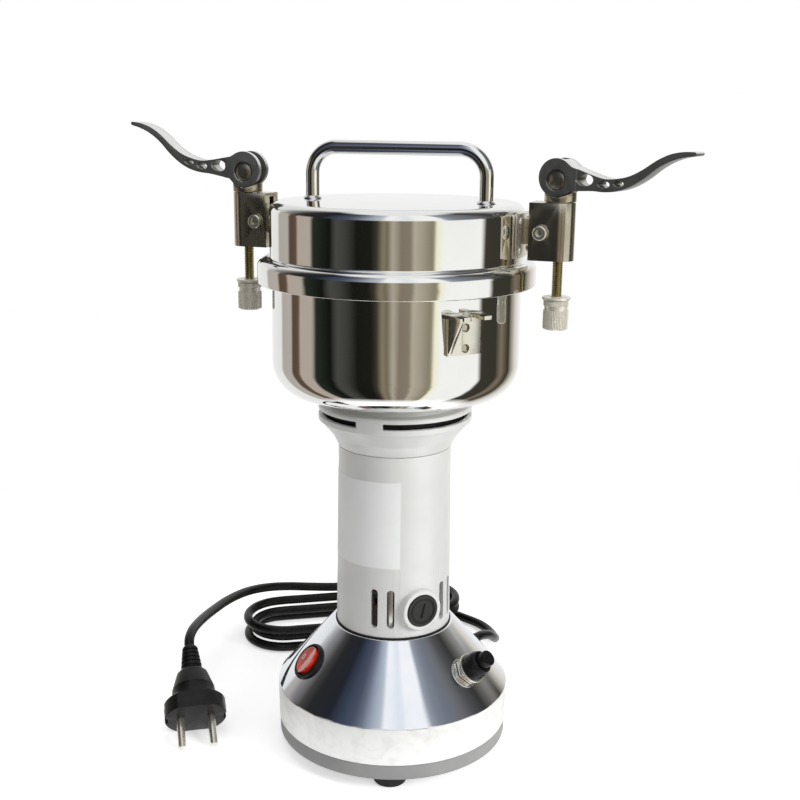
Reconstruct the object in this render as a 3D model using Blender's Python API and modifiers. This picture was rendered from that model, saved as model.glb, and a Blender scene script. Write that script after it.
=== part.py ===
"""Small electric swing grinder for grain and spices, built piece by piece.

Metres, +Z up, origin on the table under the centre of the base. The two lid clamps lie on the X axis.
Azimuths are in degrees, from -Y towards +X.
"""

import math

import bmesh
import bpy
from mathutils import Matrix, Vector

MM = 0.001

# ---- Driving sizes ------------------------------------------------------------------------------
SEAT_GAP = 0.3 * MM            # between pieces that touch

# Base
BASE_RADIUS = 70.0 * MM
BASE_RIM_Z = 39.7 * MM         # where the upright ring meets the cone
BASE_RING_BOTTOM_Z = 17.0 * MM
BASE_RING_DRAFT = 0.4 * MM
BASE_WALL = 2.2 * MM
BASE_DECK_Z = 78.2 * MM
BASE_DECK_MARGIN = 1.9 * MM    # deck outside the motor housing
PLATE_BOTTOM_Z = 7.6 * MM
PLATE_FLOOR = 2.6 * MM
PLATE_RIM = 3.0 * MM
PLATE_INSET = 0.8 * MM
PLATE_CHAMFER = 1.5 * MM
FOOT_RADIUS = 9.8 * MM
FOOT_CIRCLE = 55.0 * MM
FOOT_TAPER = 0.8 * MM
FOOT_AZIMUTH = 18.0
FOOT_COUNT = 4
CABLE_WAY_RADIUS = 12.0 * MM   # hole in the deck for the motor's leads

# Motor housing and neck
HOUSING_FOOT_RADIUS = 34.3 * MM
HOUSING_TOP_RADIUS = 33.0 * MM
HOUSING_HEIGHT = 109.2 * MM
HOUSING_WALL = 2.7 * MM
HOUSING_FLOOR = 3.0 * MM
NECK_THROAT_RISE = 14.3 * MM    # from the housing's top to the neck's upright wall
NECK_THROAT_RADIUS = 42.6 * MM
NECK_RADIUS = 44.8 * MM
NECK_CHAMFER = 1.8 * MM
NECK_RING_HEIGHT = 11.0 * MM
NECK_WALL = 2.8 * MM
NECK_DECK = 2.4 * MM
BOWL_BOSS_RADIUS = 38.0 * MM
BOWL_BOSS_HEIGHT = 6.8 * MM
AIR_SLOT_HEIGHT = 3.6 * MM
AIR_SLOT_SPAN = 106.0          # degrees
AIR_SLOT_COUNT = 3
AIR_TAB_AZIMUTH = 0.0
VENT_WIDTH = 4.4 * MM
VENT_RISE = 6.3 * MM           # above the deck
VENT_HEIGHT = 24.0 * MM
VENT_OFFSETS = (-46.0, -29.5, 29.5, 46.0)   # degrees on both sides of each brush cap

# Motor
SHAFT_RADIUS = 4.0 * MM
SHAFT_CLEARANCE = 0.3 * MM
SHOULDER_RADIUS = 5.1 * MM     # the lower blade rests on it
SHAFT_END_CLEARANCE = 0.7 * MM  # above the lower bearing's floor
SHAFT_HOLE_RADIUS = 5.5 * MM
BEARING_RADIUS = 11.0 * MM
BEARING_HEIGHT = 7.0 * MM
BEARING_CUP_WALL = 2.8 * MM
BEARING_FLOOR = 2.0 * MM
CORE_RISE = 33.5 * MM          # from the housing's foot to the iron core
CORE_DROP = 35.7 * MM          # from the housing's top down to it
ARMATURE_RADIUS = 16.4 * MM
AIR_GAP = 0.6 * MM
COIL_HEIGHT = 7.0 * MM
COIL_THROUGH = 2.2 * MM        # winding between the core and the armature
COIL_OUTER_RADIUS = 28.0 * MM
COMMUTATOR_RADIUS = 9.0 * MM
COMMUTATOR_LENGTH = 14.0 * MM
FAN_RADIUS = 27.0 * MM
FAN_HUB_RADIUS = 8.0 * MM
FAN_BLADE_WIDTH = 3.0 * MM
FAN_HEIGHT = 10.0 * MM
FAN_DROP = 19.7 * MM           # from the housing's top down to the fan's foot
FAN_BLADES = 8
BRUSH_RISE = 17.8 * MM         # above the deck
BRUSH_AZIMUTH = 46.0
BRUSH_SIDE = 6.0 * MM
BRUSH_LENGTH = 13.0 * MM
BRUSH_BOSS_RADIUS = 12.2 * MM
BRUSH_BOSS_REACH = 37.4 * MM   # from the motor's axis
BRUSH_CAP_RADIUS = 9.6 * MM
BRUSH_CAP_SUNK = 2.9 * MM
BRUSH_CAP_PROUD = 0.7 * MM
BRUSH_BARREL_RADIUS = 6.7 * MM
BRUSH_SLOT = 1.6 * MM
BRUSH_SLOT_LENGTH = 9.0 * MM

# Switch and overload breaker on the cone
CONE_FRACTION = 0.535          # place down the cone, 0 at the deck and 1 at the ring
SWITCH_AZIMUTH = -47.5
SWITCH_RADIUS = 11.5 * MM
SWITCH_BARREL_RADIUS = 10.0 * MM
SWITCH_DEPTH = 16.0 * MM
SWITCH_SINK = 1.1 * MM
SWITCH_FLANGE = 2.8 * MM
ROCKER_RADIUS = 8.7 * MM
ROCKER_CLEARANCE = 0.5 * MM
ROCKER_HEIGHT = 3.4 * MM
ROCKER_TILT = 7.0              # degrees, each way from level
ROCKER_WELL = 4.4 * MM
BREAKER_AZIMUTH = 73.0
BREAKER_HOLE_RADIUS = 5.4 * MM
BREAKER_NUT_FLATS = 15.0 * MM
BREAKER_NUT_HEIGHT = 3.0 * MM
BREAKER_RING_RADIUS = 9.0 * MM
BREAKER_RING_HEIGHT = 1.4 * MM
BREAKER_SKIRT_RADIUS = 7.9 * MM
BREAKER_SKIRT_HEIGHT = 9.0 * MM
BREAKER_BARREL_RADIUS = 5.0 * MM
BREAKER_DEPTH = 14.0 * MM
RESET_RADIUS = 4.7 * MM
RESET_PROUD = 5.6 * MM
RESET_STROKE = 2.5 * MM

# Bowl
BOWL_RADIUS = 71.0 * MM
BOWL_WALL = 1.6 * MM
BOWL_CORNER_WIDTH = 17.0 * MM
BOWL_CORNER_HEIGHT = 19.5 * MM
BOWL_HEIGHT = 73.4 * MM
BOWL_RIM_WIDTH = 5.6 * MM
LUG_AZIMUTH = 49.0
LUG_DROP = 17.7 * MM           # from the bowl's rim to the lug's top
LUG_THICKNESS = 2.0 * MM
LUG_ROOT_WIDTH = 27.0 * MM
LUG_NOSE_WIDTH = 17.0 * MM
LUG_FLANGE_WIDTH = 21.0 * MM
LUG_FLANGE_HEIGHT = 22.0 * MM
LUG_SLOT_MARGIN = 1.1 * MM     # each side of the clamp rod
LUG_NUT_CLEARANCE = 0.6 * MM   # between the lug and a nut that passes outside it
LUG_HOLE_RADIUS = 2.4 * MM
LUG_HOLE_PITCH = 11.0 * MM

# Blades
BLADE_THICKNESS = 2.5 * MM
BLADE_BORE_GAP = 0.3 * MM
BLADE_RISE = 6.2 * MM          # above the bowl's underside
BLADE_PITCH = 14.0 * MM
BLADE_LOWER_REACH = 60.0 * MM
BLADE_UPPER_REACH = 46.0 * MM
BLADE_ROOT_WIDTH = 22.0 * MM
BLADE_TIP_WIDTH = 9.0 * MM
SPACER_RADIUS = 8.5 * MM
BLADE_NUT_FLATS = 15.0 * MM
BLADE_NUT_HEIGHT = 8.0 * MM

# Lid
LID_MARGIN = 1.0 * MM          # outside the bowl
LID_WALL = 1.6 * MM
LID_HEIGHT = 31.4 * MM         # above the skirt's step
LID_EDGE = 6.5 * MM            # radius of the rolled top edge
SKIRT_MARGIN = 2.4 * MM        # outside the bowl's rim
SKIRT_HEIGHT = 13.8 * MM
SKIRT_STEP_RISE = 4.2 * MM     # above the bowl's rim
SKIRT_EDGE = 3.5 * MM
SEAL_INSET = 0.9 * MM          # inside the bowl's rim
SEAL_WIDTH = 5.0 * MM
HANDLE_BAR_RADIUS = 4.0 * MM
HANDLE_SPAN = 103.0 * MM       # between the legs' centrelines
HANDLE_HEIGHT = 33.2 * MM      # above the lid
HANDLE_BEND = 15.0 * MM
STRAP_DROP = 3.8 * MM          # from the lid's top to the strap's
STRAP_HEIGHT = 24.0 * MM
STRAP_THICKNESS = 1.6 * MM
STRAP_WIDTH = 24.0 * MM
TONGUE_THICKNESS = 5.0 * MM
TONGUE_HEIGHT = 14.0 * MM
TONGUE_END = 3.6 * MM          # past the pivot

# Clamps
PIVOT_STANDOFF = 12.0 * MM     # outside the lid's wall
PIVOT_DROP = 13.8 * MM         # from the lid's top
ROD_OFFSET = 8.6 * MM          # outside the pivot
ROD_RADIUS = 2.9 * MM
ROD_IN_NUT = 9.3 * MM
ROD_CLEARANCE = 0.4 * MM
YOKE_RISE = 16.0 * MM          # above the pivot
YOKE_HEIGHT = 31.0 * MM
YOKE_WIDTH = 17.0 * MM
YOKE_STANDOFF = 5.5 * MM       # outside the lid's wall
TONGUE_CLEARANCE = 0.4 * MM
BOLT_RADIUS = 2.1 * MM
BOLT_HEAD_RADIUS = 4.0 * MM
BOLT_HEAD_HEIGHT = 2.4 * MM
BOLT_SOCKET_RADIUS = 1.9 * MM
BOLT_SOCKET_DEPTH = 1.5 * MM
CAM_PIN_RISE = 12.0 * MM       # above the yoke
CAM_PIN_RADIUS = 5.5 * MM
CAM_RADIUS = 10.25 * MM
CAM_THROW = 1.3 * MM           # the cam disc's centre above its pin
CAM_WIDTH = 13.0 * MM
SEAT_RADIUS = 8.6 * MM
SEAT_HEIGHT = 5.8 * MM
SADDLE_RADIUS = 14.0 * MM      # wider than the cam disc, which also moves sideways as it turns
LEVER_TURN = {"right": 0.0, "left": 8.5}      # degrees that each lever stands above its drawn place
LEVER_SWIVEL = {"right": -16.0, "left": 0.0}  # degrees about the clamp rod
LEVER_WIDTH = 11.0 * MM
NUT_RADIUS = 7.0 * MM
NUT_RISE = 2.8 * MM            # from the lug's top to the nut's
NUT_HEIGHT = 16.3 * MM
NUT_GROOVE = 0.6 * MM
NUT_FLOOR = 2.5 * MM
WASHER_RADIUS = 7.8 * MM
WASHER_HEIGHT = 1.4 * MM

# Lever outline beside its pin: distance outwards, height, half depth
LEVER_STATIONS = (
    (9.2, 0.9, 6.2), (14.0, 0.2, 5.4), (21.0, -0.8, 4.1), (28.0, -1.8, 3.4), (35.0, -1.2, 3.2),
    (42.0, 0.9, 2.8), (49.0, 4.8, 2.5), (56.0, 9.8, 2.1), (63.0, 13.3, 1.8), (70.0, 15.0, 1.4),
    (76.5, 15.4, 1.0),
)
# Lightening holes: centre outwards, centre height, half length, half height
LEVER_HOLES = ((16.4, 0.7, 4.9, 3.2), (27.2, -1.3, 3.5, 1.9), (35.6, -0.6, 2.9, 1.6))

# Cord
FRONT_TURN = 19.0              # degrees from -Y to the side where the switch and breaker face
CORD_RADIUS = 3.2 * MM
GLAND_AZIMUTH = 164.0
GLAND_Z = 26.0 * MM
GLAND_REACH = 98.0 * MM
GLAND_COLLAR_RADIUS = 7.5 * MM
GLAND_COLLAR_HEIGHT = 2.0 * MM
GLAND_ROOT_RADIUS = 6.0 * MM
GLAND_TIP_RADIUS = 4.2 * MM
GLAND_BARREL_RADIUS = 4.9 * MM
GLAND_INSIDE = 6.0 * MM
GLAND_STRAIGHT = 7.0 * MM      # cord before its first bend
HANK_CENTRE = (-30.0 * MM, 150.0 * MM)
HANK_TURN = 12.0               # degrees
HANK_RUN = 101.0 * MM
HANK_RADIUS = 31.0 * MM
HANK_BUNDLE = 13.2 * MM
HANK_HEIGHT = 19.4 * MM
# Free stretches of the cord, seen from the switch's side: right, back, up
TAIL_ROUTE = (
    (66.6, 95.4, 22.6), (70.6, 104.0, 17.2), (73.2, 114.0, 11.6), (74.0, 125.0, 7.0), (73.0, 136.5, 4.4),
    (69.8, 147.0, 3.8), (64.4, 155.8, 3.8), (57.4, 162.2, 3.8), (53.6, 164.6, 3.8),
)
LEAD_ROUTE = (
    (12.0, 187.0, 23.5), (-8.0, 183.2, 23.4), (-28.0, 179.4, 23.4), (-47.0, 176.5, 23.6), (-64.0, 175.0, 24.2),
    (-80.0, 172.0, 25.6), (-94.0, 164.0, 28.0), (-105.5, 150.5, 31.0), (-113.5, 134.0, 34.0),
    (-119.5, 116.0, 36.8), (-124.0, 98.0, 39.2), (-127.5, 80.0, 41.8), (-130.2, 62.0, 44.2),
    (-131.7, 46.5, 45.4),
)

# Plug
PLUG_FACE = (-121.0 * MM, -9.0 * MM)
PLUG_YAW = 13.6                # degrees
PLUG_DISC_RADIUS = 19.0 * MM
PLUG_DISC_HALF_HEIGHT = 15.5 * MM
PLUG_DISC_THICKNESS = 11.0 * MM
PLUG_LENGTH = 50.0 * MM
PIN_RADIUS = 2.4 * MM
PIN_LENGTH = 19.0 * MM
PIN_PITCH = 19.0 * MM

LARGE_STEPS = 36               # sides of each round shape
ROUND_STEPS = 32
MIDDLE_STEPS = 20
SMALL_STEPS = 16
FINE_STEPS = 48
WALL_STEPS = 96

# ---- Worked-out sizes ---------------------------------------------------------------------------
DECK_RADIUS = HOUSING_FOOT_RADIUS + BASE_DECK_MARGIN
CONE_SLOPE = Vector((BASE_RADIUS - DECK_RADIUS, BASE_RIM_Z - BASE_DECK_Z))
CONE_NORMAL = Vector((-CONE_SLOPE.y, CONE_SLOPE.x)).normalized()

HOUSING_BOTTOM_Z = BASE_DECK_Z + SEAT_GAP
HOUSING_TOP_Z = HOUSING_BOTTOM_Z + HOUSING_HEIGHT
HOUSING_DRAFT = (HOUSING_FOOT_RADIUS - HOUSING_TOP_RADIUS) / HOUSING_HEIGHT
VENT_BOTTOM_Z = BASE_DECK_Z + VENT_RISE
VENT_TOP_Z = VENT_BOTTOM_Z + VENT_HEIGHT
BRUSH_Z = BASE_DECK_Z + BRUSH_RISE
NECK_THROAT_Z = HOUSING_TOP_Z + NECK_THROAT_RISE
NECK_TOP_Z = NECK_THROAT_Z + NECK_RING_HEIGHT

BORE_ON_SHAFT = SHAFT_RADIUS + SHAFT_CLEARANCE
BEARING_POCKET_Z = HOUSING_BOTTOM_Z + BEARING_FLOOR
BEARING_POCKET_RADIUS = BEARING_RADIUS + SEAT_GAP
BEARING_CUP_RADIUS = BEARING_POCKET_RADIUS + BEARING_CUP_WALL
UPPER_BEARING_Z = NECK_TOP_Z - NECK_DECK - BEARING_HEIGHT - SEAT_GAP
SHAFT_END_Z = BEARING_POCKET_Z + SHAFT_END_CLEARANCE
CORE_BOTTOM_Z = HOUSING_BOTTOM_Z + CORE_RISE
CORE_TOP_Z = HOUSING_TOP_Z - CORE_DROP
STATOR_RADIUS = HOUSING_TOP_RADIUS - HOUSING_WALL + HOUSING_DRAFT * CORE_DROP - SEAT_GAP
FAN_BOTTOM_Z = HOUSING_TOP_Z - FAN_DROP

BOWL_BOTTOM_Z = NECK_TOP_Z + BOWL_BOSS_HEIGHT
BOWL_RIM_Z = BOWL_BOTTOM_Z + BOWL_HEIGHT
BOWL_RIM_RADIUS = BOWL_RADIUS + BOWL_RIM_WIDTH
LUG_TOP_Z = BOWL_RIM_Z - LUG_DROP
BLADE_LOWER_Z = BOWL_BOTTOM_Z + BLADE_RISE
BLADE_UPPER_Z = BLADE_LOWER_Z + BLADE_PITCH
BLADE_NUT_Z = BLADE_UPPER_Z + BLADE_THICKNESS + SEAT_GAP
SHAFT_TOP_Z = BLADE_NUT_Z + BLADE_NUT_HEIGHT + 1.5 * MM

LID_RADIUS = BOWL_RADIUS + LID_MARGIN
SKIRT_RADIUS = BOWL_RIM_RADIUS + SKIRT_MARGIN
SKIRT_STEP_Z = BOWL_RIM_Z + SKIRT_STEP_RISE
SKIRT_BOTTOM_Z = SKIRT_STEP_Z - SKIRT_HEIGHT
LID_TOP_Z = SKIRT_STEP_Z + LID_HEIGHT
HANDLE_TOP_Z = LID_TOP_Z + HANDLE_HEIGHT
STRAP_TOP_Z = LID_TOP_Z - STRAP_DROP
STRAP_BOTTOM_Z = STRAP_TOP_Z - STRAP_HEIGHT

PIVOT_REACH = LID_RADIUS + PIVOT_STANDOFF
PIVOT_Z = LID_TOP_Z - PIVOT_DROP
ROD_REACH = PIVOT_REACH + ROD_OFFSET
YOKE_TOP_Z = PIVOT_Z + YOKE_RISE
YOKE_BOTTOM_Z = YOKE_TOP_Z - YOKE_HEIGHT
YOKE_INNER_REACH = LID_RADIUS + YOKE_STANDOFF
YOKE_END_RADIUS = YOKE_WIDTH / 2
YOKE_SLOT_END = ROD_REACH - 1.0 * MM
SEAT_TOP_Z = YOKE_TOP_Z + SEAT_HEIGHT
CAM_PIN_Z = YOKE_TOP_Z + CAM_PIN_RISE
CAM_SLOT_WIDTH = 2 * (ROD_RADIUS + ROD_CLEARANCE)
LUG_REACH = ROD_REACH - WASHER_RADIUS - LUG_NUT_CLEARANCE
NUT_TOP_Z = LUG_TOP_Z + NUT_RISE
NUT_BOTTOM_Z = NUT_TOP_Z - NUT_HEIGHT
NUT_BORE_FLOOR_Z = NUT_BOTTOM_Z + NUT_FLOOR
ROD_END_Z = NUT_TOP_Z - ROD_IN_NUT

PLUG_PITCH = math.atan2(PLUG_DISC_HALF_HEIGHT - PIN_RADIUS, PIN_LENGTH + SEAT_GAP)

SIDES = {"right": 1, "left": -1}

# ---- Materials ----------------------------------------------------------------------------------
COLOURS = {
    "polished steel": ((0.78, 0.78, 0.77), 0.12, 1.0),
    "spun aluminium": ((0.80, 0.80, 0.80), 0.22, 1.0),
    "silver paint": ((0.72, 0.73, 0.73), 0.38, 0.3),
    "grey plate": ((0.30, 0.31, 0.32), 0.5, 0.0),
    "black rubber": ((0.02, 0.02, 0.02), 0.7, 0.0),
    "black plastic": ((0.025, 0.025, 0.025), 0.4, 0.0),
    "red lens": ((0.75, 0.05, 0.03), 0.2, 0.0),
    "copper": ((0.72, 0.38, 0.20), 0.4, 1.0),
    "carbon": ((0.06, 0.06, 0.06), 0.6, 0.0),
    "lamination": ((0.28, 0.28, 0.29), 0.5, 1.0),
    "smoked nickel": ((0.42, 0.39, 0.35), 0.22, 1.0),
    "bronze": ((0.55, 0.47, 0.34), 0.3, 1.0),
    "yellow zinc": ((0.62, 0.52, 0.26), 0.35, 1.0),
    "satin nickel": ((0.70, 0.69, 0.64), 0.35, 1.0),
    "gunmetal": ((0.23, 0.23, 0.23), 0.35, 1.0),
    "clear silicone": ((0.85, 0.84, 0.80), 0.4, 0.0),
}


def make_material(name):
    colour, roughness, metallic = COLOURS[name]
    material = bpy.data.materials.new(name)
    material.use_nodes = True
    shader = material.node_tree.nodes["Principled BSDF"]
    shader.inputs["Base Color"].default_value = (*colour, 1.0)
    shader.inputs["Roughness"].default_value = roughness
    shader.inputs["Metallic"].default_value = metallic
    return material


for old in list(bpy.data.objects):
    bpy.data.objects.remove(old, do_unlink=True)

GRINDER = bpy.data.collections.new("swing_grinder")
CUTTERS = bpy.data.collections.new("cutters")
bpy.context.scene.collection.children.link(GRINDER)
bpy.context.scene.collection.children.link(CUTTERS)
MATERIALS = {name: make_material(name) for name in COLOURS}


# ---- Shape helpers ------------------------------------------------------------------------------
def add_object(name, data, material, place=None, collection=None):
    """Links a new object. Without a material it is a cutter."""
    obj = bpy.data.objects.new(name, data)
    (collection or (GRINDER if material else CUTTERS)).objects.link(obj)
    if material:
        data.materials.append(MATERIALS[material])
    else:
        obj.hide_render = True
        obj.display_type = "WIRE"
    obj.matrix_world = place or Matrix.Identity(4)
    return obj


def smooth(obj):
    obj.data.shade_smooth()
    obj.data.set_sharp_from_angle(angle=math.radians(35))
    return obj


def at(point, turn=None):
    """A place: a point, and a rotation that is applied there."""
    place = Matrix.Translation(point)
    return place @ turn.to_4x4() if turn is not None else place


def outward(azimuth, radius, z):
    """The point at this azimuth, radius and height."""
    angle = math.radians(azimuth)
    return Vector((radius * math.sin(angle), -radius * math.cos(angle), z))


def along(direction, up=Vector((0.0, 0.0, 1.0))):
    """The rotation that turns +Z along a direction, and +Y as near as it can to up."""
    z_axis = Vector(direction).normalized()
    x_axis = up.cross(z_axis).normalized()
    y_axis = z_axis.cross(x_axis)
    return Matrix((x_axis, y_axis, z_axis)).transposed()


def turned(name, profile, material, place=None, steps=ROUND_STEPS, ring=True):
    """A profile of (radius, z) turned about Z. A ring's profile closes on itself, another meets the axis."""
    mesh = bpy.data.meshes.new(name)
    points = [(radius, 0.0, z) for radius, z in profile]
    edges = [(i, i + 1) for i in range(len(points) - 1)]
    if ring:
        edges.append((len(points) - 1, 0))
    mesh.from_pydata(points, edges, [])
    obj = add_object(name, mesh, material, place)
    screw = obj.modifiers.new("turn", "SCREW")
    screw.steps = steps
    screw.render_steps = steps
    screw.use_merge_vertices = True
    screw.merge_threshold = 0.00001
    screw.use_smooth_shade = True
    return obj


def tube_profile(inner, outer, bottom, top):
    return [(outer, top), (outer, bottom), (inner, bottom), (inner, top)]


def rod_profile(radius, bottom, top):
    return [(0.0, top), (radius, top), (radius, bottom), (0.0, bottom)]


def arc(centre, radii, start, end, steps):
    """Points (across, up) round a centre, from one angle to another in degrees."""
    points = []
    for i in range(steps + 1):
        angle = math.radians(start + (end - start) * i / steps)
        points.append((centre[0] + radii[0] * math.cos(angle), centre[1] + radii[1] * math.sin(angle)))
    return points


def box(name, size, material=None, place=None, offset=(0.0, 0.0, 0.0)):
    mesh = bpy.data.meshes.new(name)
    shape = bmesh.new()
    bmesh.ops.create_cube(shape, size=1.0)
    bmesh.ops.scale(shape, vec=size, verts=shape.verts)
    bmesh.ops.translate(shape, vec=offset, verts=shape.verts)
    shape.to_mesh(mesh)
    shape.free()
    return add_object(name, mesh, material, place)


def cylinder(name, radius, low, high, material=None, place=None, steps=SMALL_STEPS):
    """A cylinder along its own Z."""
    mesh = bpy.data.meshes.new(name)
    shape = bmesh.new()
    bmesh.ops.create_cone(
        shape, cap_ends=True, segments=steps, radius1=radius, radius2=radius, depth=high - low
    )
    bmesh.ops.translate(shape, vec=(0.0, 0.0, (low + high) / 2), verts=shape.verts)
    shape.to_mesh(mesh)
    shape.free()
    return add_object(name, mesh, material, place)


def flat(name, outlines, low, high, material, place=None):
    """Closed outlines of (x, y), the first the outer one, made a plate between two heights."""
    curve = bpy.data.curves.new(name, "CURVE")
    curve.dimensions = "2D"
    curve.fill_mode = "BOTH"
    curve.extrude = (high - low) / 2
    for outline in outlines:
        spline = curve.splines.new("POLY")
        spline.points.add(len(outline) - 1)
        for point, (x, y) in zip(spline.points, outline):
            point.co = (x, y, 0.0, 1.0)
        spline.use_cyclic_u = True
    obj = add_object(name, curve, material, Matrix.Translation((0.0, 0.0, (low + high) / 2)))
    return as_mesh(obj, name, material, place)


def as_mesh(obj, name, material, place=None):
    """A curve's evaluated shape as a closed mesh object, and the curve removed."""
    bpy.context.view_layer.update()
    source = obj.evaluated_get(bpy.context.evaluated_depsgraph_get())
    mesh = bpy.data.meshes.new_from_object(source)
    mesh.transform(obj.matrix_world)
    shape = bmesh.new()
    shape.from_mesh(mesh)
    bmesh.ops.remove_doubles(shape, verts=shape.verts, dist=0.000005)
    bmesh.ops.recalc_face_normals(shape, faces=shape.faces)
    shape.to_mesh(mesh)
    shape.free()
    mesh.materials.clear()
    bpy.data.objects.remove(obj, do_unlink=True)
    return add_object(name, mesh, material, place)


def combine(obj, other, operation):
    step = obj.modifiers.new(other.name, "BOOLEAN")
    step.operation = operation
    step.object = other
    step.solver = "EXACT"
    return obj


def cut(obj, *others):
    for other in others:
        combine(obj, other, "DIFFERENCE")
    return obj


def join(obj, *others):
    for other in others:
        combine(obj, other, "UNION")
    return obj


def smooth_route(points, spacing):
    """Points about this far apart on one smooth curve through a route's own points."""
    ends = [points[0] * 2 - points[1], *points, points[-1] * 2 - points[-2]]
    route = []
    for before, start, end, after in zip(ends, ends[1:], ends[2:], ends[3:]):
        count = max(1, round((end - start).length / spacing))
        for i in range(count):
            t = i / count
            route.append(
                0.5 * (2 * start + (end - before) * t + (2 * before - 5 * start + 4 * end - after) * t**2
                       + (3 * start - before - 3 * end + after) * t**3)
            )
    route.append(points[-1])
    return route


def tube(name, points, radius, material):
    curve = bpy.data.curves.new(name, "CURVE")
    curve.dimensions = "3D"
    curve.bevel_depth = radius
    curve.bevel_resolution = 2
    curve.use_fill_caps = True
    spline = curve.splines.new("POLY")
    spline.points.add(len(points) - 1)
    for point, place in zip(spline.points, points):
        point.co = (*place, 1.0)
    return add_object(name, curve, material)


def hexagon(flats):
    corner = flats / math.sqrt(3)
    return [(corner * math.cos(math.radians(60 * i)), corner * math.sin(math.radians(60 * i))) for i in range(6)]


def circle(radius, steps=SMALL_STEPS, centre=(0.0, 0.0)):
    return arc(centre, (radius, radius), 0.0, 360.0 * (steps - 1) / steps, steps - 1)


def from_front(right, back, up):
    """A point given as seen from the side that the switch and the breaker face."""
    turn = math.radians(FRONT_TURN)
    return Vector((
        right * math.cos(turn) - back * math.sin(turn),
        right * math.sin(turn) + back * math.cos(turn),
        up,
    ))


def on_cone(azimuth, fraction=CONE_FRACTION):
    """The place on the cone's surface with +Z along its normal and +Y up the slope."""
    radius = DECK_RADIUS + CONE_SLOPE.x * fraction
    z = BASE_DECK_Z + CONE_SLOPE.y * fraction
    outside = outward(azimuth, 1.0, 0.0)
    normal = outside * CONE_NORMAL.x + Vector((0.0, 0.0, CONE_NORMAL.y))
    return at(outward(azimuth, radius, z), along(normal))


# ---- Base ---------------------------------------------------------------------------------------
def make_base():
    inner_shift = BASE_WALL / CONE_NORMAL.y
    rim_inner_z = BASE_RIM_Z - BASE_WALL * 0.45
    shell = turned(
        "base_shell",
        [
            (DECK_RADIUS, BASE_DECK_Z),
            (BASE_RADIUS, BASE_RIM_Z),
            (BASE_RADIUS - BASE_RING_DRAFT, BASE_RING_BOTTOM_Z),
            (BASE_RADIUS - BASE_RING_DRAFT - BASE_WALL, BASE_RING_BOTTOM_Z),
            (BASE_RADIUS - BASE_WALL, rim_inner_z),
            (DECK_RADIUS - CONE_SLOPE.x / CONE_SLOPE.y * (BASE_WALL - inner_shift), BASE_DECK_Z - BASE_WALL),
            (CABLE_WAY_RADIUS, BASE_DECK_Z - BASE_WALL),
            (CABLE_WAY_RADIUS, BASE_DECK_Z),
        ],
        "spun aluminium",
        steps=LARGE_STEPS,
    )
    seat = on_cone(SWITCH_AZIMUTH)
    cut(
        shell,
        cylinder("cut_switch_seat", SWITCH_RADIUS + SEAT_GAP, -SWITCH_SINK, 6 * MM, place=seat, steps=MIDDLE_STEPS),
        cylinder("cut_switch_hole", SWITCH_BARREL_RADIUS + SEAT_GAP, -9 * MM, 6 * MM, place=seat, steps=MIDDLE_STEPS),
        cylinder("cut_breaker_hole", BREAKER_HOLE_RADIUS, -9 * MM, 6 * MM, place=on_cone(BREAKER_AZIMUTH)),
        cylinder(
            "cut_cord_hole", GLAND_BARREL_RADIUS + SEAT_GAP, -9 * MM, 9 * MM,
            place=at(outward(GLAND_AZIMUTH, BASE_RADIUS, GLAND_Z), along(outward(GLAND_AZIMUTH, 1.0, 0.0))),
        ),
    )
    plate_radius = BASE_RADIUS - PLATE_INSET
    plate_top = BASE_RING_BOTTOM_Z - SEAT_GAP
    turned(
        "base_plate",
        [
            (0.0, PLATE_BOTTOM_Z + PLATE_FLOOR),
            (plate_radius - PLATE_RIM, PLATE_BOTTOM_Z + PLATE_FLOOR),
            (plate_radius - PLATE_RIM, plate_top),
            (plate_radius, plate_top),
            (plate_radius, PLATE_BOTTOM_Z + PLATE_CHAMFER),
            (plate_radius - PLATE_CHAMFER, PLATE_BOTTOM_Z),
            (0.0, PLATE_BOTTOM_Z),
        ],
        "grey plate",
        steps=LARGE_STEPS,
        ring=False,
    )
    for i in range(FOOT_COUNT):
        turned(
            f"foot_{i + 1}",
            [
                (0.0, PLATE_BOTTOM_Z - SEAT_GAP),
                (FOOT_RADIUS, PLATE_BOTTOM_Z - SEAT_GAP),
                (FOOT_RADIUS, FOOT_TAPER),
                (FOOT_RADIUS - FOOT_TAPER, 0.0),
                (0.0, 0.0),
            ],
            "black rubber",
            at(outward(FOOT_AZIMUTH + 360.0 / FOOT_COUNT * i, FOOT_CIRCLE, 0.0)),
            steps=MIDDLE_STEPS,
            ring=False,
        )


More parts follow.
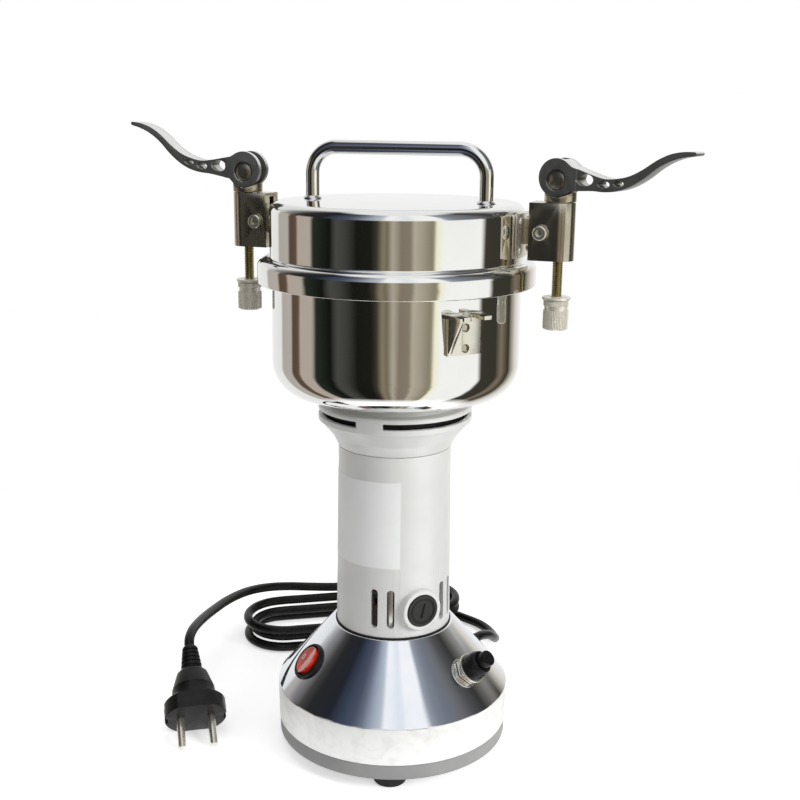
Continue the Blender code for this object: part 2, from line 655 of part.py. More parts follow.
def make_switch():
    place = on_cone(SWITCH_AZIMUTH)
    flange_bottom = SEAT_GAP - SWITCH_SINK
    flange_top = flange_bottom + SWITCH_FLANGE
    well_radius = ROCKER_RADIUS + ROCKER_CLEARANCE
    turned(
        "switch_bezel",
        [
            (0.0, flange_top - ROCKER_WELL),
            (well_radius, flange_top - ROCKER_WELL),
            (well_radius, flange_top),
            (SWITCH_RADIUS - 0.8 * MM, flange_top),
            (SWITCH_RADIUS, flange_top - 0.8 * MM),
            (SWITCH_RADIUS, flange_bottom),
            (SWITCH_BARREL_RADIUS, flange_bottom),
            (SWITCH_BARREL_RADIUS, -SWITCH_DEPTH),
            (0.0, -SWITCH_DEPTH),
        ],
        "black plastic",
        place,
        steps=MIDDLE_STEPS,
        ring=False,
    )
    pivot = place @ Matrix.Translation((0.0, 0.0, flange_top - 0.4 * MM))
    turned(
        "switch_rocker",
        [
            (0.0, ROCKER_HEIGHT * 0.5),
            (ROCKER_RADIUS * 0.6, ROCKER_HEIGHT * 0.42),
            (ROCKER_RADIUS, ROCKER_HEIGHT * 0.1),
            (ROCKER_RADIUS - 0.4 * MM, -ROCKER_HEIGHT * 0.5),
            (0.0, -ROCKER_HEIGHT * 0.5),
        ],
        "red lens",
        pivot @ Matrix.Rotation(math.radians(-ROCKER_TILT), 4, "Y"),
        steps=MIDDLE_STEPS,
        ring=False,
    )


def make_breaker():
    place = on_cone(BREAKER_AZIMUTH)
    nut_top = SEAT_GAP + BREAKER_NUT_HEIGHT
    ring_top = nut_top + BREAKER_RING_HEIGHT
    bore = BREAKER_BARREL_RADIUS + SEAT_GAP
    nut = flat("breaker_nut", [hexagon(BREAKER_NUT_FLATS)], SEAT_GAP, nut_top, "satin nickel", place)
    ring = cylinder(
        "join_breaker_ring", BREAKER_RING_RADIUS, nut_top - 0.4 * MM, ring_top, place=place, steps=MIDDLE_STEPS
    )
    cut(join(nut, ring), cylinder("cut_breaker_bore", bore, -MM, ring_top + MM, place=place))
    skirt_bottom = ring_top + SEAT_GAP
    skirt_top = skirt_bottom + BREAKER_SKIRT_HEIGHT
    well = RESET_RADIUS + SEAT_GAP
    turned(
        "breaker_body",
        [
            (0.0, skirt_top - RESET_STROKE - 3.0 * MM),
            (well, skirt_top - RESET_STROKE - 3.0 * MM),
            (well, skirt_top),
            (BREAKER_SKIRT_RADIUS - 1.6 * MM, skirt_top),
            (BREAKER_SKIRT_RADIUS - 0.4 * MM, skirt_top - 1.6 * MM),
            (BREAKER_SKIRT_RADIUS, skirt_bottom),
            (BREAKER_BARREL_RADIUS, skirt_bottom),
            (BREAKER_BARREL_RADIUS, -BREAKER_DEPTH),
            (0.0, -BREAKER_DEPTH),
        ],
        "black plastic",
        place,
        steps=MIDDLE_STEPS,
        ring=False,
    )
    turned(
        "reset_button",
        [
            (0.0, skirt_top + RESET_PROUD),
            (RESET_RADIUS - 0.8 * MM, skirt_top + RESET_PROUD),
            (RESET_RADIUS, skirt_top + RESET_PROUD - 0.8 * MM),
            (RESET_RADIUS, skirt_top - 2.5 * MM),
            (0.0, skirt_top - 2.5 * MM),
        ],
        "black plastic",
        place,
        steps=SMALL_STEPS,
        ring=False,
    )


# ---- Motor --------------------------------------------------------------------------------------
def make_housing():
    floor_z = HOUSING_BOTTOM_Z + HOUSING_FLOOR
    cup_top = BEARING_POCKET_Z + SEAT_GAP + BEARING_HEIGHT
    housing = turned(
        "motor_housing",
        [
            (HOUSING_TOP_RADIUS, HOUSING_TOP_Z),
            (HOUSING_FOOT_RADIUS, HOUSING_BOTTOM_Z),
            (SHAFT_HOLE_RADIUS, HOUSING_BOTTOM_Z),
            (SHAFT_HOLE_RADIUS, BEARING_POCKET_Z),
            (BEARING_POCKET_RADIUS, BEARING_POCKET_Z),
            (BEARING_POCKET_RADIUS, cup_top),
            (BEARING_CUP_RADIUS, cup_top),
            (BEARING_CUP_RADIUS, floor_z),
            (HOUSING_FOOT_RADIUS - HOUSING_DRAFT * HOUSING_FLOOR - HOUSING_WALL, floor_z),
            (HOUSING_TOP_RADIUS - HOUSING_WALL, HOUSING_TOP_Z),
        ],
        "silver paint",
        steps=ROUND_STEPS,
    )
    wall_inside = HOUSING_FOOT_RADIUS - HOUSING_WALL - 0.6 * MM
    for i, side in enumerate((0.0, 180.0)):
        azimuth = BRUSH_AZIMUTH + side
        place = at(Vector((0.0, 0.0, BRUSH_Z)), along(outward(azimuth, 1.0, 0.0)))
        boss = cylinder(
            f"join_brush_boss_{i}", BRUSH_BOSS_RADIUS, wall_inside, BRUSH_BOSS_REACH, place=place, steps=MIDDLE_STEPS
        )
        join(housing, boss)
        head_seat = BRUSH_BOSS_REACH - BRUSH_CAP_SUNK
        cut(
            housing,
            cylinder(
                f"cut_cap_seat_{i}", BRUSH_CAP_RADIUS + SEAT_GAP, head_seat, BRUSH_BOSS_REACH + MM,
                place=place, steps=MIDDLE_STEPS,
            ),
            cylinder(
                f"cut_cap_bore_{i}", BRUSH_BARREL_RADIUS + SEAT_GAP, 20 * MM, BRUSH_BOSS_REACH + MM, place=place
            ),
        )
        for k, offset in enumerate(VENT_OFFSETS):
            vent = box(
                f"cut_vent_{i}_{k}",
                (VENT_WIDTH, 14 * MM, VENT_TOP_Z - VENT_BOTTOM_Z),
                place=Matrix.Rotation(math.radians(azimuth + offset), 4, "Z"),
                offset=(0.0, -HOUSING_FOOT_RADIUS, (VENT_TOP_Z + VENT_BOTTOM_Z) / 2),
            )
            cut(housing, vent)
        make_brush(i + 1, place, head_seat)


def make_brush(number, place, head_seat):
    tip = COMMUTATOR_RADIUS + SEAT_GAP
    barrel_end = tip + BRUSH_LENGTH + SEAT_GAP
    head_top = BRUSH_BOSS_REACH + BRUSH_CAP_PROUD
    box(
        f"carbon_brush_{number}", (BRUSH_SIDE, BRUSH_SIDE, BRUSH_LENGTH), "carbon", place,
        offset=(0.0, 0.0, tip + BRUSH_LENGTH / 2),
    )
    cap = turned(
        f"brush_cap_{number}",
        [
            (0.0, head_top),
            (BRUSH_CAP_RADIUS - 0.8 * MM, head_top),
            (BRUSH_CAP_RADIUS, head_top - 0.8 * MM),
            (BRUSH_CAP_RADIUS, head_seat + SEAT_GAP),
            (BRUSH_BARREL_RADIUS, head_seat + SEAT_GAP),
            (BRUSH_BARREL_RADIUS, barrel_end),
            (0.0, barrel_end),
        ],
        "black plastic",
        place,
        steps=MIDDLE_STEPS,
        ring=False,
    )
    slot = box(
        f"cut_cap_slot_{number}", (BRUSH_SLOT, BRUSH_SLOT_LENGTH, 2 * MM), place=place,
        offset=(0.0, 0.0, head_top),
    )
    cut(cap, slot)


def make_neck():
    deck_under = NECK_TOP_Z - NECK_DECK
    chamfer_z = NECK_THROAT_Z + NECK_CHAMFER
    pocket_top = UPPER_BEARING_Z + BEARING_HEIGHT + SEAT_GAP
    neck = turned(
        "neck_flange",
        [
            (NECK_RADIUS, NECK_TOP_Z),
            (NECK_RADIUS, chamfer_z),
            (NECK_THROAT_RADIUS, NECK_THROAT_Z),
            (HOUSING_TOP_RADIUS, HOUSING_TOP_Z + SEAT_GAP),
            (HOUSING_TOP_RADIUS - HOUSING_WALL, HOUSING_TOP_Z + SEAT_GAP),
            (NECK_THROAT_RADIUS - NECK_WALL, NECK_THROAT_Z + 0.4 * MM),
            (NECK_RADIUS - NECK_WALL, chamfer_z + 0.4 * MM),
            (NECK_RADIUS - NECK_WALL, deck_under),
            (BEARING_CUP_RADIUS, deck_under),
            (BEARING_CUP_RADIUS, UPPER_BEARING_Z),
            (BEARING_POCKET_RADIUS, UPPER_BEARING_Z),
            (BEARING_POCKET_RADIUS, pocket_top),
            (SHAFT_HOLE_RADIUS, pocket_top),
            (SHAFT_HOLE_RADIUS, BOWL_BOTTOM_Z - SEAT_GAP),
            (BOWL_BOSS_RADIUS, BOWL_BOTTOM_Z - SEAT_GAP),
            (BOWL_BOSS_RADIUS, NECK_TOP_Z),
        ],
        "silver paint",
        steps=ROUND_STEPS,
    )
    half_span = math.radians(AIR_SLOT_SPAN / 2)
    near = NECK_RADIUS * math.cos(half_span) - NECK_WALL
    for i in range(AIR_SLOT_COUNT):
        azimuth = AIR_TAB_AZIMUTH + 360.0 / AIR_SLOT_COUNT * (i + 0.5)
        cutter = box(
            f"cut_air_slot_{i}",
            (2 * NECK_RADIUS * math.sin(half_span), NECK_RADIUS * 1.2 - near, AIR_SLOT_HEIGHT),
            place=Matrix.Rotation(math.radians(azimuth), 4, "Z"),
            offset=(0.0, -(NECK_RADIUS * 1.2 + near) / 2, deck_under - SEAT_GAP - AIR_SLOT_HEIGHT / 2),
        )
        cut(neck, cutter)


def make_motor():
    bearing = tube_profile(BORE_ON_SHAFT, BEARING_RADIUS, 0.0, BEARING_HEIGHT)
    lower_z = BEARING_POCKET_Z + SEAT_GAP
    turned("lower_bearing", bearing, "polished steel", at((0.0, 0.0, lower_z)), steps=MIDDLE_STEPS)
    turned("upper_bearing", bearing, "polished steel", at((0.0, 0.0, UPPER_BEARING_Z)), steps=MIDDLE_STEPS)
    coil_inner = ARMATURE_RADIUS + AIR_GAP
    coil_through = coil_inner + COIL_THROUGH
    stator_bore = coil_through + SEAT_GAP
    turned("stator_core", tube_profile(stator_bore, STATOR_RADIUS, CORE_BOTTOM_Z, CORE_TOP_Z), "lamination")
    coil_bottom = CORE_BOTTOM_Z - SEAT_GAP
    coil_top = CORE_TOP_Z + SEAT_GAP
    turned(
        "field_winding",
        [
            (COIL_OUTER_RADIUS, coil_top + COIL_HEIGHT),
            (COIL_OUTER_RADIUS, coil_top),
            (coil_through, coil_top),
            (coil_through, coil_bottom),
            (COIL_OUTER_RADIUS, coil_bottom),
            (COIL_OUTER_RADIUS, coil_bottom - COIL_HEIGHT),
            (coil_inner, coil_bottom - COIL_HEIGHT),
            (coil_inner, coil_top + COIL_HEIGHT),
        ],
        "copper",
        steps=MIDDLE_STEPS,
    )
    shoulder_z = BLADE_LOWER_Z - SEAT_GAP
    turned(
        "motor_shaft",
        [
            (0.0, SHAFT_TOP_Z),
            (SHAFT_RADIUS, SHAFT_TOP_Z),
            (SHAFT_RADIUS, shoulder_z),
            (SHOULDER_RADIUS, shoulder_z),
            (SHOULDER_RADIUS, BOWL_BOTTOM_Z),
            (SHAFT_RADIUS, BOWL_BOTTOM_Z),
            (SHAFT_RADIUS, SHAFT_END_Z),
            (0.0, SHAFT_END_Z),
        ],
        "polished steel",
        steps=MIDDLE_STEPS,
        ring=False,
    )
    turned(
        "armature_core", tube_profile(BORE_ON_SHAFT, ARMATURE_RADIUS, CORE_BOTTOM_Z, CORE_TOP_Z), "lamination",
        steps=MIDDLE_STEPS,
    )
    bottom = BRUSH_Z - COMMUTATOR_LENGTH / 2
    turned(
        "commutator", tube_profile(BORE_ON_SHAFT, COMMUTATOR_RADIUS, bottom, bottom + COMMUTATOR_LENGTH), "copper",
        steps=MIDDLE_STEPS,
    )
    make_fan()


def make_fan():
    """Straight paddles on a hub, one outline with the shaft's bore in it."""
    outline = []
    half = FAN_BLADE_WIDTH / 2
    for i in range(FAN_BLADES):
        turn = Matrix.Rotation(math.radians(360.0 / FAN_BLADES * i), 2)
        for x, y in ((FAN_HUB_RADIUS, -half), (FAN_RADIUS, -half), (FAN_RADIUS, half), (FAN_HUB_RADIUS, half)):
            outline.append(turn @ Vector((x, y)))
    bore = circle(BORE_ON_SHAFT)
    flat("cooling_fan", [outline, bore], FAN_BOTTOM_Z, FAN_BOTTOM_Z + FAN_HEIGHT, "black plastic")


# ---- Bowl and blades ----------------------------------------------------------------------------
def make_bowl():
    corner = (BOWL_RADIUS - BOWL_CORNER_WIDTH, BOWL_BOTTOM_Z + BOWL_CORNER_HEIGHT)
    inner = (BOWL_CORNER_WIDTH - BOWL_WALL, BOWL_CORNER_HEIGHT - BOWL_WALL)
    turned(
        "bowl",
        [
            (BOWL_RIM_RADIUS, BOWL_RIM_Z),
            (BOWL_RIM_RADIUS, BOWL_RIM_Z - BOWL_WALL),
            (BOWL_RADIUS, BOWL_RIM_Z - BOWL_WALL),
            *arc(corner, (BOWL_CORNER_WIDTH, BOWL_CORNER_HEIGHT), 0.0, -90.0, 4),
            (SHAFT_HOLE_RADIUS, BOWL_BOTTOM_Z),
            (SHAFT_HOLE_RADIUS, BOWL_BOTTOM_Z + BOWL_WALL),
            *arc(corner, inner, -90.0, 0.0, 4),
            (BOWL_RADIUS - BOWL_WALL, BOWL_RIM_Z),
        ],
        "polished steel",
        steps=LARGE_STEPS,
    )
    for i, side in enumerate((0.0, 180.0)):
        make_lug(i + 1, LUG_AZIMUTH + side)


def make_lug(number, azimuth):
    """A forked plate that the clamp rod drops into, one gusset, and a curved flange on the bowl's wall."""
    root = BOWL_RADIUS + SEAT_GAP
    turn = Matrix.Rotation(math.radians(azimuth), 4, "Z")
    wall = cylinder(f"cut_lug_wall_{number}", root, LUG_TOP_Z - 60 * MM, LUG_TOP_Z + 20 * MM, steps=WALL_STEPS)
    half_slot = ROD_RADIUS + LUG_SLOT_MARGIN
    slot_floor = LUG_REACH - 2 * half_slot
    inside = root - 4 * MM
    plate = flat(
        f"bowl_lug_{number}",
        [[
            (-LUG_ROOT_WIDTH / 2, -inside),
            (-LUG_NOSE_WIDTH / 2, -LUG_REACH),
            (-half_slot, -LUG_REACH),
            *arc((0.0, -slot_floor), (half_slot, half_slot), 180.0, 0.0, 6),
            (half_slot, -LUG_REACH),
            (LUG_NOSE_WIDTH / 2, -LUG_REACH),
            (LUG_ROOT_WIDTH / 2, -inside),
        ]],
        LUG_TOP_Z - LUG_THICKNESS,
        LUG_TOP_Z,
        "polished steel",
        turn,
    )
    flange_z = LUG_TOP_Z - LUG_FLANGE_HEIGHT / 2
    flange = turned(
        f"join_lug_flange_{number}",
        tube_profile(root, root + LUG_THICKNESS, LUG_TOP_Z - LUG_FLANGE_HEIGHT, LUG_TOP_Z - LUG_THICKNESS / 2),
        None,
        steps=WALL_STEPS,
    )
    window = box(
        f"keep_lug_flange_{number}",
        (LUG_FLANGE_WIDTH, 30 * MM, LUG_FLANGE_HEIGHT + 2 * MM),
        place=turn,
        offset=(0.0, -root - 5 * MM, flange_z),
    )
    combine(flange, window, "INTERSECT")
    low = LUG_TOP_Z - LUG_FLANGE_HEIGHT + 3 * MM
    gusset = flat(
        f"join_lug_gusset_{number}",
        [[(inside, low), (root + LUG_THICKNESS, low), (LUG_REACH - MM, LUG_TOP_Z - MM), (inside, LUG_TOP_Z - MM)]],
        0.0,
        LUG_THICKNESS,
        None,
        turn @ Matrix(((0, 0, 1, -LUG_FLANGE_WIDTH / 2 + 0.4 * MM), (-1, 0, 0, 0), (0, 1, 0, 0), (0, 0, 0, 1))),
    )
    join(plate, flange, gusset)
    cut(plate, wall)
    for i in range(2):
        hole_z = flange_z - LUG_THICKNESS + (i - 0.5) * LUG_HOLE_PITCH
        hole = cylinder(
            f"cut_lug_hole_{number}_{i}", LUG_HOLE_RADIUS, root - 2 * MM, root + 5 * MM,
            place=at(Vector((0.0, 0.0, hole_z)), along(outward(azimuth, 1.0, 0.0))), steps=SMALL_STEPS,
        )
        cut(plate, hole)


def make_blades():
    bore = circle(SHAFT_RADIUS + BLADE_BORE_GAP, 16)
    blades = {"lower": (BLADE_LOWER_Z, BLADE_LOWER_REACH, 0.0), "upper": (BLADE_UPPER_Z, BLADE_UPPER_REACH, 90.0)}
    for name, (z, reach, turn) in blades.items():
        half_root = BLADE_ROOT_WIDTH / 2
        half_tip = BLADE_TIP_WIDTH / 2
        quarter = [(half_root * 0.7, half_root), (reach - half_tip, half_tip * 1.6), (reach, -half_tip * 0.4)]
        trailing = [(half_root, -half_root)]
        half = [*quarter, *trailing]
        outline = [(x, y) for x, y in half] + [(-x, -y) for x, y in half]
        flat(
            f"blade_{name}", [outline[::-1], bore], z, z + BLADE_THICKNESS, "polished steel",
            Matrix.Rotation(math.radians(turn), 4, "Z"),
        )
    spacer = tube_profile(
        BORE_ON_SHAFT, SPACER_RADIUS, BLADE_LOWER_Z + BLADE_THICKNESS + SEAT_GAP, BLADE_UPPER_Z - SEAT_GAP
    )
    turned("blade_spacer", spacer, "polished steel", steps=MIDDLE_STEPS)
    flat(
        "blade_nut", [hexagon(BLADE_NUT_FLATS), bore], BLADE_NUT_Z, BLADE_NUT_Z + BLADE_NUT_HEIGHT, "polished steel"
    )


# ---- Lid ----------------------------------------------------------------------------------------
def make_lid():
    top_corner = (LID_RADIUS - LID_EDGE, LID_TOP_Z - LID_EDGE)
    skirt_corner = (SKIRT_RADIUS - SKIRT_EDGE, SKIRT_STEP_Z - SKIRT_EDGE)
    edge_inside = LID_EDGE - LID_WALL
    skirt_inside = SKIRT_EDGE - LID_WALL
    turned(
        "lid",
        [
            (0.0, LID_TOP_Z),
            *arc(top_corner, (LID_EDGE, LID_EDGE), 90.0, 0.0, 3),
            (LID_RADIUS, SKIRT_STEP_Z),
            *arc(skirt_corner, (SKIRT_EDGE, SKIRT_EDGE), 90.0, 0.0, 2),
            (SKIRT_RADIUS, SKIRT_BOTTOM_Z),
            (SKIRT_RADIUS - LID_WALL, SKIRT_BOTTOM_Z),
            *arc(skirt_corner, (skirt_inside, skirt_inside), 0.0, 90.0, 2),
            (LID_RADIUS - LID_WALL, SKIRT_STEP_Z - LID_WALL),
            *arc(top_corner, (edge_inside, edge_inside), 0.0, 90.0, 2),
            (0.0, LID_TOP_Z - LID_WALL),
        ],
        "polished steel",
        steps=LARGE_STEPS,
        ring=False,
    )
    seal_bottom = BOWL_RIM_Z + SEAT_GAP
    seal_outer = BOWL_RIM_RADIUS - SEAL_INSET
    turned(
        "lid_seal",
        tube_profile(seal_outer - SEAL_WIDTH, seal_outer, seal_bottom, SKIRT_STEP_Z - LID_WALL - SEAT_GAP),
        "clear silicone",
        steps=LARGE_STEPS,
    )
    make_handle()
    for name, side in SIDES.items():
        make_strap(name, side)


def make_handle():
    half = HANDLE_SPAN / 2
    top = HANDLE_TOP_Z - HANDLE_BAR_RADIUS
    bend = arc((half - HANDLE_BEND, top - HANDLE_BEND), (HANDLE_BEND, HANDLE_BEND), 0.0, 90.0, 6)
    right = [(half, LID_TOP_Z + SEAT_GAP), *bend]
    path = right + [(-x, z) for x, z in reversed(right)]
    bar = tube("lid_handle", [Vector((x, 0.0, z)) for x, z in path], HANDLE_BAR_RADIUS, "polished steel")
    bar.data.bevel_resolution = 3


def make_strap(name, side):
    """A curved plate on the lid's wall with a tongue that the clamp's pivot bolt goes through."""
    inner = LID_RADIUS + SEAT_GAP
    turn = Matrix.Rotation(0.0 if side > 0 else math.pi, 4, "Z")
    strap = turned(
        f"lid_strap_{name}",
        tube_profile(inner, inner + STRAP_THICKNESS, STRAP_BOTTOM_Z, STRAP_TOP_Z),
        "satin nickel",
        steps=WALL_STEPS,
    )
    middle = (STRAP_BOTTOM_Z + STRAP_TOP_Z) / 2
    window = box(
        f"keep_strap_{name}", (30 * MM, STRAP_WIDTH, 40 * MM), place=turn, offset=(inner + 5 * MM, 0.0, middle)
    )
    combine(strap, window, "INTERSECT")
    root = inner + STRAP_THICKNESS / 2
    length = PIVOT_REACH + TONGUE_END - root
    tongue = box(
        f"join_tongue_{name}", (length, TONGUE_THICKNESS, TONGUE_HEIGHT), place=turn,
        offset=(root + length / 2, 0.0, PIVOT_Z),
    )
    join(strap, tongue)
    bolt_hole = cylinder(
        f"cut_tongue_hole_{name}", BOLT_RADIUS + SEAT_GAP, -8 * MM, 8 * MM,
        place=at((side * PIVOT_REACH, 0.0, PIVOT_Z), along((0.0, 1.0, 0.0))), steps=SMALL_STEPS,
    )
    cut(strap, bolt_hole)


# ---- Clamps -------------------------------------------------------------------------------------
def make_yoke(name, side):
    """A block with a round outer end: slotted for the tongue, bored for the rod and the pivot bolt."""
    turn = Matrix.Rotation(0.0 if side > 0 else math.pi, 4, "Z")
    pivot = Vector((side * PIVOT_REACH, 0.0, PIVOT_Z))
    outline = [
        (YOKE_INNER_REACH, -YOKE_END_RADIUS),
        *arc((ROD_REACH, 0.0), (YOKE_END_RADIUS, YOKE_END_RADIUS), -90.0, 90.0, 12),
        (YOKE_INNER_REACH, YOKE_END_RADIUS),
    ]
    to_pivot = Vector((PIVOT_REACH, 0.0, PIVOT_Z))
    yoke = flat(
        f"clamp_yoke_{name}",
        [[(x - to_pivot.x, y) for x, y in outline]],
        YOKE_BOTTOM_Z - PIVOT_Z,
        YOKE_TOP_Z - PIVOT_Z,
        "smoked nickel",
        at(pivot) @ turn,
    )
    slot_length = YOKE_SLOT_END - YOKE_INNER_REACH + 4 * MM
    slot_half = TONGUE_THICKNESS / 2 + TONGUE_CLEARANCE
    slot = box(
        f"cut_yoke_slot_{name}",
        (slot_length, 2 * slot_half, YOKE_HEIGHT - 4 * MM),
        place=turn,
        offset=(YOKE_SLOT_END - slot_length / 2, 0.0, (YOKE_BOTTOM_Z + YOKE_TOP_Z) / 2),
    )
    rod_hole = cylinder(
        f"cut_yoke_rod_{name}", ROD_RADIUS + ROD_CLEARANCE, YOKE_BOTTOM_Z - MM, YOKE_TOP_Z + MM,
        place=at((side * ROD_REACH, 0.0, 0.0)), steps=SMALL_STEPS,
    )
    bolt_hole = cylinder(
        f"cut_yoke_bolt_{name}", BOLT_RADIUS + SEAT_GAP, -20 * MM, 20 * MM,
        place=at(pivot, along((0.0, 1.0, 0.0))), steps=SMALL_STEPS,
    )
    cut(yoke, slot, rod_hole, bolt_hole)


def make_pivot_bolt(name, side):
    head = YOKE_WIDTH / 2 + SEAT_GAP
    end = head + BOLT_HEAD_HEIGHT
    place = at((side * PIVOT_REACH, 0.0, PIVOT_Z), along((0.0, -1.0, 0.0)))
    turned(
        f"pivot_bolt_{name}",
        [
            (0.0, end - BOLT_SOCKET_DEPTH),
            (BOLT_SOCKET_RADIUS, end - BOLT_SOCKET_DEPTH),
            (BOLT_SOCKET_RADIUS, end),
            (BOLT_HEAD_RADIUS - 0.5 * MM, end),
            (BOLT_HEAD_RADIUS, end - 0.5 * MM),
            (BOLT_HEAD_RADIUS, head),
            (BOLT_RADIUS, head),
            (BOLT_RADIUS, -head),
            (BOLT_HEAD_RADIUS, -head),
            (BOLT_HEAD_RADIUS, -end),
            (0.0, -end),
        ],
        "satin nickel",
        place,
        steps=SMALL_STEPS,
        ring=False,
    )


def make_cam_seat(name, side, frame):
    seat = turned(
        f"cam_seat_{name}",
        tube_profile(
            ROD_RADIUS + ROD_CLEARANCE, SEAT_RADIUS, YOKE_TOP_Z + SEAT_GAP - CAM_PIN_Z, SEAT_TOP_Z - CAM_PIN_Z
        ),
        "bronze",
        frame,
        steps=MIDDLE_STEPS,
    )
    saddle = cylinder(
        f"cut_saddle_{name}", SADDLE_RADIUS, -12 * MM, 12 * MM, steps=FINE_STEPS,
        place=frame @ at((0.0, 0.0, CAM_THROW - CAM_RADIUS - SEAT_GAP + SADDLE_RADIUS), along((0.0, 1.0, 0.0))),
    )
    cut(seat, saddle)


def make_rod(name, frame):
    top = -CAM_PIN_RADIUS - SEAT_GAP
    turned(f"clamp_rod_{name}", rod_profile(ROD_RADIUS, ROD_END_Z - CAM_PIN_Z, top), "yellow zinc", frame,
           steps=SMALL_STEPS, ring=False)
    half = CAM_WIDTH / 2 + SEAT_GAP
    pin = rod_profile(CAM_PIN_RADIUS, -half, half)
    turned(f"cam_pin_{name}", pin, "satin nickel", frame @ at((0, 0, 0), along((0.0, 1.0, 0.0))),
           steps=SMALL_STEPS, ring=False)


def lever_outline():
    """Round the cam disc and along both edges of the arm, as (outwards, up) beside the cam pin."""
    upper = [Vector((x * MM, (z + half) * MM, 0.0)) for x, z, half in LEVER_STATIONS]
    lower = [Vector((x * MM, (z - half) * MM, 0.0)) for x, z, half in LEVER_STATIONS]
    disc = arc((0.0, CAM_THROW), (CAM_RADIUS, CAM_RADIUS), 50.0, 318.0, 22)
    out = [(point.x, point.y) for point in smooth_route(lower, 5 * MM)]
    back = [(point.x, point.y) for point in reversed(smooth_route(upper, 5 * MM))]
    return disc + out + back


def make_lever(name, frame):
    """The outline stands upright in the lever's own XZ plane, so the plate's own Z is the cam pin's axis."""
    upright = Matrix.Rotation(math.pi / 2, 4, "X")
    place = frame @ Matrix.Rotation(-math.radians(LEVER_TURN[name]), 4, "Y") @ upright
    half = CAM_WIDTH / 2
    lever = flat(f"cam_lever_{name}", [lever_outline()], -half, half, "gunmetal", place)
    room = ROD_RADIUS + ROD_CLEARANCE
    slot = box(
        f"cut_lever_slot_{name}",
        (CAM_RADIUS + 3 * MM + room, 3 * CAM_RADIUS, CAM_SLOT_WIDTH),
        place=place,
        offset=((room - CAM_RADIUS - 3 * MM) / 2, 0.0, 0.0),
    )
    cheek = 2 * CAM_RADIUS
    slimmer = [
        box(
            f"cut_lever_cheek_{name}_{i}",
            (90 * MM, 60 * MM, 4 * MM),
            place=place,
            offset=(CAM_RADIUS * 1.15 + 45 * MM, cheek / 4, direction * (LEVER_WIDTH / 2 + 2 * MM)),
        )
        for i, direction in enumerate((1, -1))
    ]
    pin_hole = cylinder(f"cut_lever_pin_{name}", CAM_PIN_RADIUS + SEAT_GAP, -half - MM, half + MM, place=place)
    cut(lever, slot, pin_hole, *slimmer)
    for i, (x, z, half_length, half_height) in enumerate(LEVER_HOLES):
        oval = arc((x * MM, z * MM), (half_length * MM, half_height * MM), 0.0, 330.0, 11)
        cut(lever, flat(f"cut_lever_oval_{name}_{i}", [oval], -half - MM, half + MM, None, place))


def make_nut(name, side):
    washer_bottom = NUT_TOP_Z + SEAT_GAP
    bore = ROD_RADIUS + SEAT_GAP
    place = at((side * ROD_REACH, 0.0, 0.0))
    turned(
        f"nut_washer_{name}",
        tube_profile(bore, WASHER_RADIUS, washer_bottom, washer_bottom + WASHER_HEIGHT),
        "satin nickel",
        place,
        steps=MIDDLE_STEPS,
    )
    groove_top = NUT_TOP_Z - 3.0 * MM
    groove_bottom = groove_top - 2.6 * MM
    turned(
        f"knurled_nut_{name}",
        [
            (0.0, NUT_BORE_FLOOR_Z),
            (bore, NUT_BORE_FLOOR_Z),
            (bore, NUT_TOP_Z),
            (NUT_RADIUS, NUT_TOP_Z),
            (NUT_RADIUS, groove_top),
            (NUT_RADIUS - NUT_GROOVE, groove_top),
            (NUT_RADIUS - NUT_GROOVE, groove_bottom),
            (NUT_RADIUS, groove_bottom),
            (NUT_RADIUS, NUT_BOTTOM_Z + 0.8 * MM),
            (NUT_RADIUS - 0.8 * MM, NUT_BOTTOM_Z),
            (0.0, NUT_BOTTOM_Z),
        ],
        "satin nickel",
        place,
        steps=MIDDLE_STEPS,
        ring=False,
    )


def make_clamp(name, side):
    facing = LEVER_SWIVEL[name] + (0.0 if side > 0 else 180.0)
    frame = at((side * ROD_REACH, 0.0, CAM_PIN_Z)) @ Matrix.Rotation(math.radians(facing), 4, "Z")
    make_yoke(name, side)
    make_pivot_bolt(name, side)
    make_cam_seat(name, side, frame)
    make_rod(name, frame)
    make_lever(name, frame)
    make_nut(name, side)


# ---- Cord and plug ------------------------------------------------------------------------------
def make_gland():
    place = at(Vector((0.0, 0.0, GLAND_Z)), along(outward(GLAND_AZIMUTH, 1.0, 0.0)))
    collar = BASE_RADIUS + SEAT_GAP
    turned(
        "strain_relief",
        [
            (0.0, GLAND_REACH),
            (GLAND_TIP_RADIUS, GLAND_REACH),
            (GLAND_ROOT_RADIUS, collar + GLAND_COLLAR_HEIGHT),
            (GLAND_COLLAR_RADIUS, collar + GLAND_COLLAR_HEIGHT),
            (GLAND_COLLAR_RADIUS, collar),
            (GLAND_BARREL_RADIUS, collar),
            (GLAND_BARREL_RADIUS, collar - GLAND_INSIDE),
            (0.0, collar - GLAND_INSIDE),
        ],
        "black rubber",
        place,
        steps=SMALL_STEPS,
        ring=False,
    )


def plug_frame():
    """The plug's place: its face's centre, +Z out of its rear along the cord, +Y up."""
    yaw = math.radians(PLUG_YAW)
    ahead = from_front(math.sin(yaw), -math.cos(yaw), 0.0)
    rear = -ahead * math.cos(PLUG_PITCH) + Vector((0.0, 0.0, math.sin(PLUG_PITCH)))
    height = PLUG_DISC_HALF_HEIGHT * math.cos(PLUG_PITCH)
    return at(from_front(*PLUG_FACE, height), along(rear))


